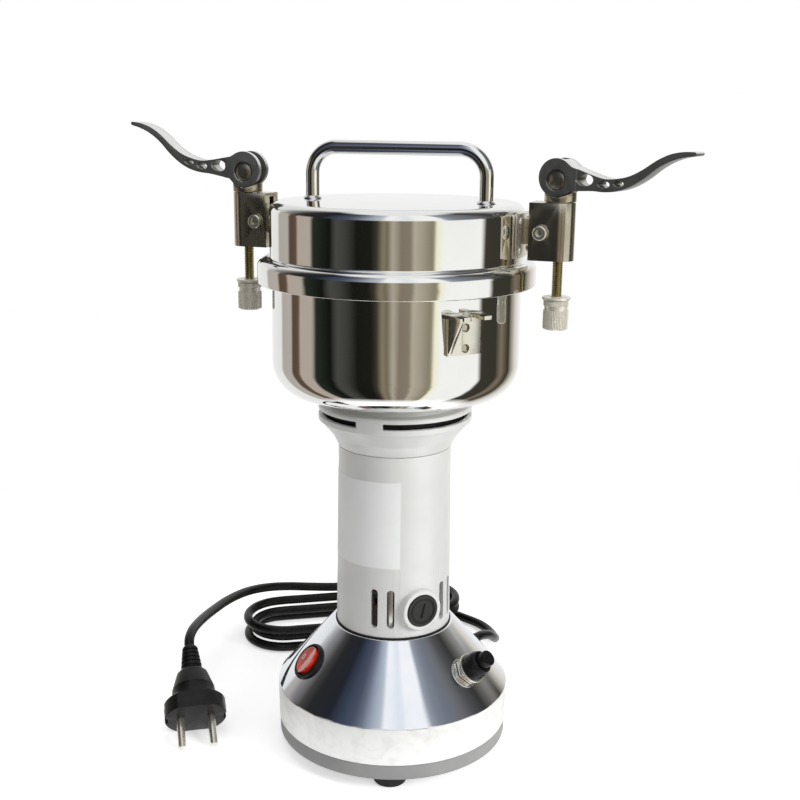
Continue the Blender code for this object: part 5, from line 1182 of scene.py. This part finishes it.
def make_strain_relief():
    """A tapered rubber sleeve with a collar against the base and open ribs along its outer half."""
    place = facing(GLAND_AZIMUTH, GLAND_Z)
    profile = [(3.25, 64.3), (4.9, 64.3), (4.9, 70.2), (7.5, 70.3), (7.5, 71.9), (7.0, 72.4), (6.0, 72.4)]
    count = 7
    first, last = 75.0, 97.4
    for i in range(count):
        a = first + (last - first) * i / count
        b = first + (last - first) * (i + 0.62) / count
        taper = 6.0 - 1.8 * (a - 72.4) / 25.6
        profile += [(taper - 0.55, a - 0.25), (taper, a), (taper - 0.1, b), (taper - 0.65, b + 0.25)]
    profile += [(4.2, 97.6), (4.1, 98.0), (3.25, 98.0)]
    sleeve = turned(profile, 56)
    return piece("cord_sleeve", sleeve, "black_rubber", "base", ["strain_relief"], place, sharp=25.0)


def make_tie():
    """A plastic strip tie round the hank's front run, with its small head."""
    run = spin_z(FRONT_TURN + HANK_TURN) @ Vector((1.0, 0.0, 0.0))
    place = at(hank_point(0.235, 25.1, 10.2), along(run))

    def loop(x, y, fillet, half):
        corners = [(-x, -y, fillet), (x, -y, fillet), (x, y, fillet), (-x, y, fillet)]
        return plate(filleted(corners), -half, half)

    head = block((3.0, 5.0, 5.4), (-7.4, 2.0, 0.0), 0.5)
    return piece("cord_tie", loop(6.5, 10.1, 3.6, 2.2), "black_plastic", "base", place=place,
                 joins=[moved(head, place)], cuts=[moved(loop(5.8, 9.4, 3.0, 4.0), place)], edge=0.2)


def make_plug():
    """A round two-pin plug: ribbed sleeve, waisted grip with finger ridges, notched disc and two pins."""
    place = plug_frame()
    profile = [(0.0, PLUG_LENGTH), (3.9, PLUG_LENGTH), (4.6, PLUG_LENGTH - 0.6)]
    for i in range(5):
        a = PLUG_LENGTH - 1.6 - 2.9 * i
        taper = 5.06 + 0.36 * i
        profile += [(taper, a), (taper, a - 1.7), (taper - 0.9, a - 2.0), (taper - 0.9, a - 2.8)]
    profile += filleted([
        (6.6, 33.2), (9.6, 30.4, 1.6), (13.2, 19.6, 2.0), (13.8, 11.0), (17.8, 11.0, 0.8), (19.0, 9.8, 0.6),
        (19.0, 0.0, 0.5), (0.0, 0.0),
    ], 4)
    cuts = []
    for side in (1, -1):
        cuts.append(block((50.0, 8.0, 24.0), (0.0, side * (PLUG_DISC_HALF_HEIGHT + 4.0), 0.0)))
        cuts.append(block((5.0, 6.4, 30.0), (side * 19.6, 0.0, 6.0), 0.8))
        cuts += [block((0.9, 30.0, 1.1), (side * 13.4, 0.0, 14.0 + 2.6 * i)) for i in range(4)]
    body = turned(profile, SMALL_ROUND * 2, closed=False)
    plug = piece("plug_moulding", body, "black_plastic", "base", ["plug_body"], place,
                 cuts=[moved(shape, place) for shape in cuts], edge=0.25)
    on_plug = []
    for number, side in enumerate((1, -1), 1):
        pin = lathe([(0.0, 0.0), (2.4, 0.0), (2.4, -19.3, 1.6), (0.0, -19.3)], 6, 40, closed=False)
        on_plug.append(piece(f"contact_pin_{number}", pin, "satin_nickel", "base", [f"plug_pin_{number}"],
                             place @ at((side * 9.5, 0.0, 0.0))))
        clip = block((0.5, 4.6, 7.0), (side * 17.3, 0.0, 5.4), 0.1, 1)
        on_plug.append(piece(f"earth_clip_{number}", clip, "satin_nickel", "base", place=place))
    return plug, on_plug


# ---- Pieces that keep their CAD shape -----------------------------------------------------------
CARRIED = {
    "stator_core": "lamination", "armature_core": "lamination", "field_winding": "copper",
    "commutator": "copper", "lower_bearing": "bearing_steel", "upper_bearing": "bearing_steel",
    "carbon_brush_1": "carbon", "carbon_brush_2": "carbon", "motor_shaft": "bearing_steel",
    "cooling_fan": "black_plastic", "blade_lower": "blade_steel", "blade_upper": "blade_steel",
    "blade_spacer": "bearing_steel", "blade_nut": "bearing_steel",
}


def dress_carried_nodes():
    for node, finish_name in CARRIED.items():
        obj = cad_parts[node]
        obj.data.materials.clear()
        obj.data.materials.append(MATERIALS[finish_name])


# ---- Stage and light ----------------------------------------------------------------------------
WHITE = (1.0, 1.0, 1.0, 1.0)


def make_floor():
    """A pale round floor, white to the camera except in shadow. Polished metal sees only its middle."""
    shape = bmesh.new()
    bmesh.ops.create_circle(shape, cap_ends=True, segments=96, radius=620.0)
    bmesh.ops.translate(shape, vec=(0.0, 0.0, -0.05), verts=shape.verts)
    floor = link_mesh("floor", shape)
    tree, shader, place = start_material(
        "floor", Base_Color=(0.90, 0.90, 0.90, 1.0), Roughness=0.9, Specular_IOR_Level=0.0)
    glow = add(tree, "ShaderNodeEmission", {"Color": WHITE, "Strength": 0.52})
    path = add(tree, "ShaderNodeLightPath").outputs
    seen = math_node(tree, "MAXIMUM", path["Is Camera Ray"], path["Is Glossy Ray"])
    seen = math_node(tree, "MAXIMUM", seen, path["Is Transmission Ray"])
    dark = add(tree, "ShaderNodeEmission", {"Color": (0.0, 0.0, 0.0, 1.0), "Strength": 0.0})
    lit = mix_shader(tree, seen, dark.outputs[0], glow.outputs[0])
    both = add(tree, "ShaderNodeAddShader", {0: shader.outputs[0], 1: lit}).outputs[0]
    reach = add(tree, "ShaderNodeVectorMath", {0: place}, operation="LENGTH").outputs["Value"]
    hidden = math_node(tree, "MULTIPLY", remap(tree, reach, 0.13, 0.20), path["Is Glossy Ray"])
    clear = add(tree, "ShaderNodeBsdfTransparent").outputs[0]
    tree.links.new(mix_shader(tree, hidden, both, clear), tree.nodes["Material Output"].inputs["Surface"])
    floor.data.materials.append(MATERIALS["floor"])


# Room seen in polished metal at eye level: heading from the front in degrees, and colour
ROOM = (
    (-180, (0.92, 0.92, 0.92)), (-131, (0.86, 0.86, 0.84)), (-127, (0.46, 0.43, 0.40)),
    (-112, (0.50, 0.45, 0.40)), (-109, (0.10, 0.07, 0.05)), (-100, (0.12, 0.08, 0.06)),
    (-97, (0.48, 0.40, 0.34)), (-82, (0.46, 0.41, 0.36)), (-78, (0.022, 0.028, 0.020)),
    (-61, (0.006, 0.007, 0.005)), (-54, (0.070, 0.070, 0.062)), (-45, (0.052, 0.052, 0.047)),
    (-35, (0.010, 0.010, 0.008)), (-22, (0.012, 0.012, 0.010)), (-17, (0.045, 0.040, 0.028)),
    (-12, (0.26, 0.22, 0.15)), (-8, (0.18, 0.15, 0.10)), (-3, (0.46, 0.41, 0.33)),
    (3, (0.24, 0.20, 0.15)), (12, (0.26, 0.22, 0.17)), (15, (0.50, 0.45, 0.36)),
    (21, (0.42, 0.37, 0.29)), (32, (0.26, 0.23, 0.16)), (35, (0.97, 0.93, 0.72)),
    (40, (1.0, 1.0, 0.97)), (79, (1.0, 1.0, 0.98)), (84, (0.045, 0.042, 0.032)),
    (104, (0.04, 0.038, 0.03)), (112, (0.22, 0.18, 0.13)), (126, (0.035, 0.028, 0.016)),
    (142, (0.72, 0.68, 0.60)), (158, (0.92, 0.92, 0.92)),
)
# The ceiling, seen by faces that lean back
CEILING = (
    (-180, (0.92, 0.92, 0.92)), (-134, (0.75, 0.75, 0.75)), (-125, (0.44, 0.44, 0.43)),
    (-117, (0.26, 0.25, 0.25)), (-104, (0.060, 0.058, 0.055)), (-94, (0.022, 0.022, 0.022)),
    (-72, (0.018, 0.020, 0.028)), (-60, (0.042, 0.055, 0.085)), (-46, (0.075, 0.088, 0.128)),
    (-36, (0.16, 0.18, 0.23)), (-26, (0.34, 0.38, 0.45)), (-15, (0.54, 0.58, 0.64)),
    (-9, (1.0, 1.0, 1.0)), (0, (0.95, 0.97, 1.0)), (8, (0.84, 0.88, 0.92)), (13, (0.86, 0.90, 0.93)),
    (18, (1.0, 1.0, 1.0)), (40, (1.0, 1.0, 1.0)), (46, (0.34, 0.37, 0.41)), (55, (0.23, 0.25, 0.29)),
    (66, (0.18, 0.20, 0.23)), (80, (0.16, 0.16, 0.17)), (90, (0.085, 0.085, 0.085)),
    (104, (0.040, 0.040, 0.038)), (112, (0.13, 0.125, 0.11)), (124, (0.30, 0.29, 0.27)),
    (132, (0.55, 0.55, 0.53)), (150, (0.92, 0.92, 0.92)),
)


def headings(stops):
    return [((degrees + 180) / 360, colour) for degrees, colour in stops]


def make_world():
    """White to the camera, even soft light for the surfaces, and a studio room for the reflections."""
    world = bpy.data.worlds.new("studio")
    bpy.context.scene.world = world
    world.use_nodes = True
    tree = world.node_tree
    tree.nodes.clear()
    direction = add(tree, "ShaderNodeTexCoord").outputs["Generated"]
    parts = add(tree, "ShaderNodeSeparateXYZ", {"Vector": direction}).outputs
    depth = math_node(tree, "MULTIPLY", parts["Y"], -1.0)
    heading = math_node(tree, "ARCTAN2", parts["X"], depth)
    heading = math_node(tree, "MULTIPLY_ADD", heading, 1 / math.tau, 0.5 - FRONT_TURN / 360)
    swing = math_node(tree, "SUBTRACT", noise(tree, direction, 5.0, 2.0), 0.5)
    heading = math_node(tree, "MULTIPLY_ADD", swing, 0.012, heading)
    heading = math_node(tree, "WRAP", heading, 1.0, 0.0)
    room = colour_ramp(tree, heading, headings(ROOM))
    ceiling = colour_ramp(tree, heading, headings(CEILING))
    high = remap(tree, parts["Z"], 0.14, 0.32, interpolation_type="SMOOTHSTEP")
    seen = mix_colour(tree, high, room, ceiling)
    seen = mix_colour(tree, remap(tree, parts["Z"], 0.88, 0.95), seen, (0.9, 0.9, 0.9))
    path = add(tree, "ShaderNodeLightPath").outputs
    white = background(tree, WHITE, 1.0)
    light = mix_shader(tree, path["Is Glossy Ray"], background(tree, WHITE, 0.44), background(tree, seen, 1.0))
    light = mix_shader(tree, path["Is Transmission Ray"], light, white)
    light = mix_shader(tree, path["Is Camera Ray"], light, white)
    add(tree, "ShaderNodeOutputWorld", {"Surface": light})


def make_lamp(name, azimuth, reach, height, size, power):
    data = bpy.data.lights.new(name, "AREA")
    data.shape = "DISK"
    data.size = size
    data.energy = power
    lamp = bpy.data.objects.new(name, data)
    bpy.context.scene.collection.objects.link(lamp)
    spot = outward(azimuth, reach, height)
    lamp.matrix_world = at(spot, along(spot - Vector((0.0, 0.0, 0.15))))
    lamp.visible_glossy = False


def make_lights():
    make_lamp("overhead_lamp", FRONT_TURN, 0.25, 1.3, 0.9, 4.0)
    make_lamp("left_lamp", FRONT_TURN - 65.0, 1.1, 0.8, 0.6, 0.6)
    make_lamp("right_lamp", FRONT_TURN + 55.0, 1.2, 0.6, 0.6, 12.0)


make_camera()
make_cord()
make_base()
make_switch()
make_breaker()
make_housing()
make_neck()
make_bowl()
make_lid()
for clamp_name, clamp_side in SIDES.items():
    make_clamp(clamp_name, clamp_side)
dress_carried_nodes()
make_floor()
make_world()
make_lights()
bpy.context.scene.view_settings.view_transform = "Standard"
